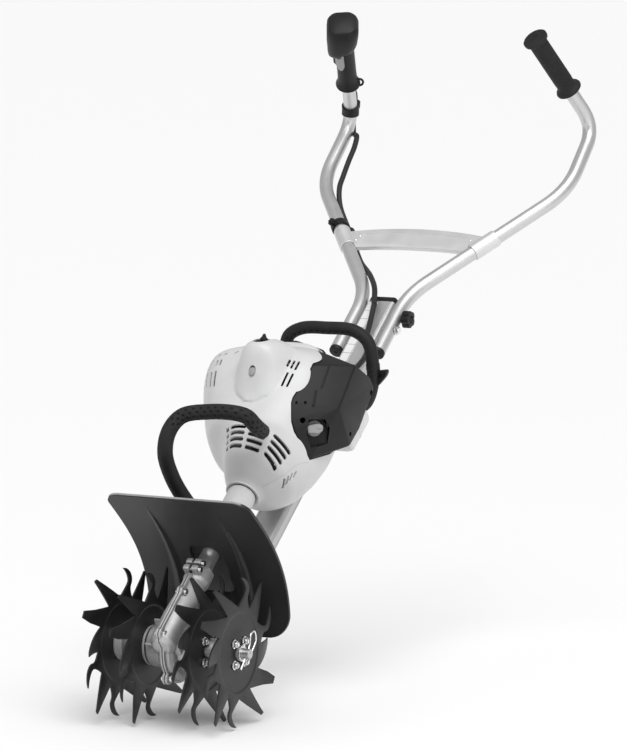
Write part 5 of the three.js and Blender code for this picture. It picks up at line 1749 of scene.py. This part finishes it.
def make_top_clip():
    """A wide band that follows the bent tube, with grooves along it and a saddle on its outer side."""
    path = tube_path(-1)
    near = min(range(len(path)), key=lambda i: (path[i] - TOP_CLIP["centre"]).length)
    span = [i for i in range(len(path)) if abs(i - near) < 60 and (path[i] - path[near]).length < 11.5]
    longer = [i for i in range(len(path)) if abs(i - near) < 90 and (path[i] - path[near]).length < 20]
    band = sweep([path[i] for i in span], 15.4, 64, cap=0.8, first_side=TOP_CLIP["across"])
    saddle = moved(clip_saddle(), clip_frame(TOP_CLIP))
    tube = sweep([path[i] for i in longer], TUBE_RADIUS + 0.2, 64)
    cable = moved(clip_bore(), clip_frame(TOP_CLIP))
    slits = [moved(block((14.6, -0.6, -8), (18, 0.6, 8)), spin(a, "Z"), clip_frame(TOP_CLIP))
             for a in (1.9, 2.6, 3.7, 4.4)]
    clip = cut(join(band, saddle), tube, cable, *slits)
    piece("cable_clip_top_moulded", clip, SLOPING, housing_black, "cable_clip_top")


def beside_tube(distance, inwards):
    return TUBE_BEND + UPPER_RUN * distance + Vector((inwards, 0, 0))


def make_cables():
    seat = MIDDLE_CLIP["seat"]
    to_sloping = SLOPING.inverted() @ LEFT_GRIP
    corners = [to_sloping @ Vector((0, 17.6, level)) for level in (89.5, 76)]
    corners += [round_the_bend(-0.05, SADDLE_REACH - 1), TOP_CLIP["seat"], round_the_bend(0.72, SADDLE_REACH),
                round_the_bend(1.1, SADDLE_REACH) + Vector((7, 0, 0)),
                beside_tube(115, 24), beside_tube(90, 29), beside_tube(55, 31), beside_tube(20, 34),
                beside_tube(-12, 38),
                place(-182, 1102, -64), seat + LOWER_RUN * 22, seat, seat - LOWER_RUN * 18,
                place(-110, 995, -80),
                place(-92, 970, -76), place(-68, 942, -66), place(-42, 908, -48), place(-16, 868, -37),
                place(0, 826, -36)]
    upper = sweep(spline(corners, 320), CABLE_RADIUS, 24, first_side=(1, 0, 0))
    piece("throttle_cable_upper_sheath", upper, SLOPING, cable_black, "throttle_cable_upper")

    corners = [place(0, 825, -36), place(9, 787, -35), place(22, 742, -28), place(42, 702, -16),
               place(58, 664, 0),
               place(66, 622, 18), place(70, 590, 34), place(72, 561, 44)]
    lower = moved(sweep(spline(corners, 160), CABLE_RADIUS, 24, first_side=(1, 0, 0)), SLOPING)
    cable = dressed("throttle_cable_lower_sheath", lower, cable_black)
    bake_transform(cable)
    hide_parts("throttle_cable_lower")


make_middle_clip()
make_top_clip()
make_cables()

# ---- Inside the covers ----


def make_cylinder():
    base = 37.3
    fins = [(0, base), (31, base), (31, base + 6), (21, base + 7)]
    for i in range(12):
        level = base + 9 + 4.6 * i
        fins += [(21, level), (30, level + 0.3), (30.6, level + 1), (30, level + 1.7), (21, level + 2.2)]
    fins += [(20, base + 65), (17, base + 67), (0, base + 67)]
    body = turned("-y", fins, 64)
    port = block((-34, -base - 34, -9), (-14, -base - 12, 9))
    ears = [shifted(rod("-y", 4.5, base, base + 6.5, 24), x=x, z=z) for z in (27, -27) for x in (27, -27)]
    bore = rod("-y", 17.4, base - 1, base + 55, 64)
    body = cut(join(body, port, *ears), bore)
    piece("cylinder_cast", shifted(body, z=CYLINDER_ALONG), DRIVE, cast_metal, "cylinder")


def make_muffler():
    shell = bevelled(block((-89, -111, 413), (-37, -63, 463)), 7, 4)
    seam = bevelled(block((-90, -112, 436.5), (-36, -62, 439.5)), 1, 2)
    vents = [block((-80 + 7 * i, -114, 446), (-77 + 7 * i, -108, 458)) for i in range(6)]
    screws = [stand_at(socket_head(3.4, 3), (x, -110.5, 420), (0, -1, 0)) for x in (-80, -46)]
    shell = join(cut(join(shell, seam), *vents), *screws)
    piece("muffler_pressed", shell, SLOPING, hot_paint, "muffler")


def make_intake():
    throat = [(8, 35), (14, 35), (14, 38), (11, 40), (11, 56), (14, 58), (14, 60), (8, 60), (8, 35)]
    body = join(turned("x", throat, 48), cut(bevelled(block((42, -15, -15), (58, 15, 15)), 2.5, 3),
                                             rod("x", 8, 30, 70, 40)))
    bowl = rod("-y", 9, 14, 19, 40, edge=1)
    bowl = shifted(bowl, x=50)
    screws = [shifted(rod("z", 2.2, 14, 18, 20, edge=0.4), x=x, y=y) for x, y in ((46, -9), (54, 9))]
    body = moved(join(body, bowl, *screws), put(0, -78, CYLINDER_ALONG))
    piece("carburettor_cast", body, SLOPING, cast_metal, "carburettor")

    outline = [(66.5, -95)]
    outline += [(66.5 if i % 2 else 84.5, -93 + 3 * i) for i in range(16)]
    outline += [(66.5, -45), (64.5, -45), (64.5, -95)]
    pleats = prism([(x + 1.2, y) for x, y in outline], 454, 510)
    frames = [bevelled(block((66, -96, low), (86, -44, low + 4)), 0.8, 2) for low in (450, 510)]
    piece("air_filter_pleats", join(pleats, *frames), SLOPING, pale_grey, "air_filter")


def make_mount():
    bar = bevelled(block((-16.7, 5, 424.3), (16.7, RAIL_FRONT - 0.6, 453.7)), 2, 3)
    holes = [shifted(rod("-y", 3.4, -60, 0, 24), x=x, z=439) for x in (-9, 9)]
    piece("engine_mount_milled", cut(bar, *holes), SLOPING, cast_metal, "engine_mount")


def finish_node(name, material, rounding):
    """A CAD part that is shown as it is, with its edges rounded and its own finish."""
    node = frame["nodes"][name]
    node.data.materials.clear()
    node.data.materials.append(material)
    edge = node.modifiers.new("rounded", "BEVEL")
    edge.width = rounding * MM
    edge.segments = 2
    edge.limit_method = "ANGLE"
    edge.angle_limit = radians(40)


make_cylinder()
make_muffler()
make_intake()
make_mount()
for name, finish, rounding in (("worm_wheel", dull_steel, 0.2), ("clutch_drum", dull_steel, 0.5),
                               ("crankshaft", dull_steel, 0.5), ("flywheel", cast_metal, 0.5),
                               ("crankcase", cast_metal, 1.2), ("piston", bright_steel, 0.4)):
    finish_node(name, finish, rounding)
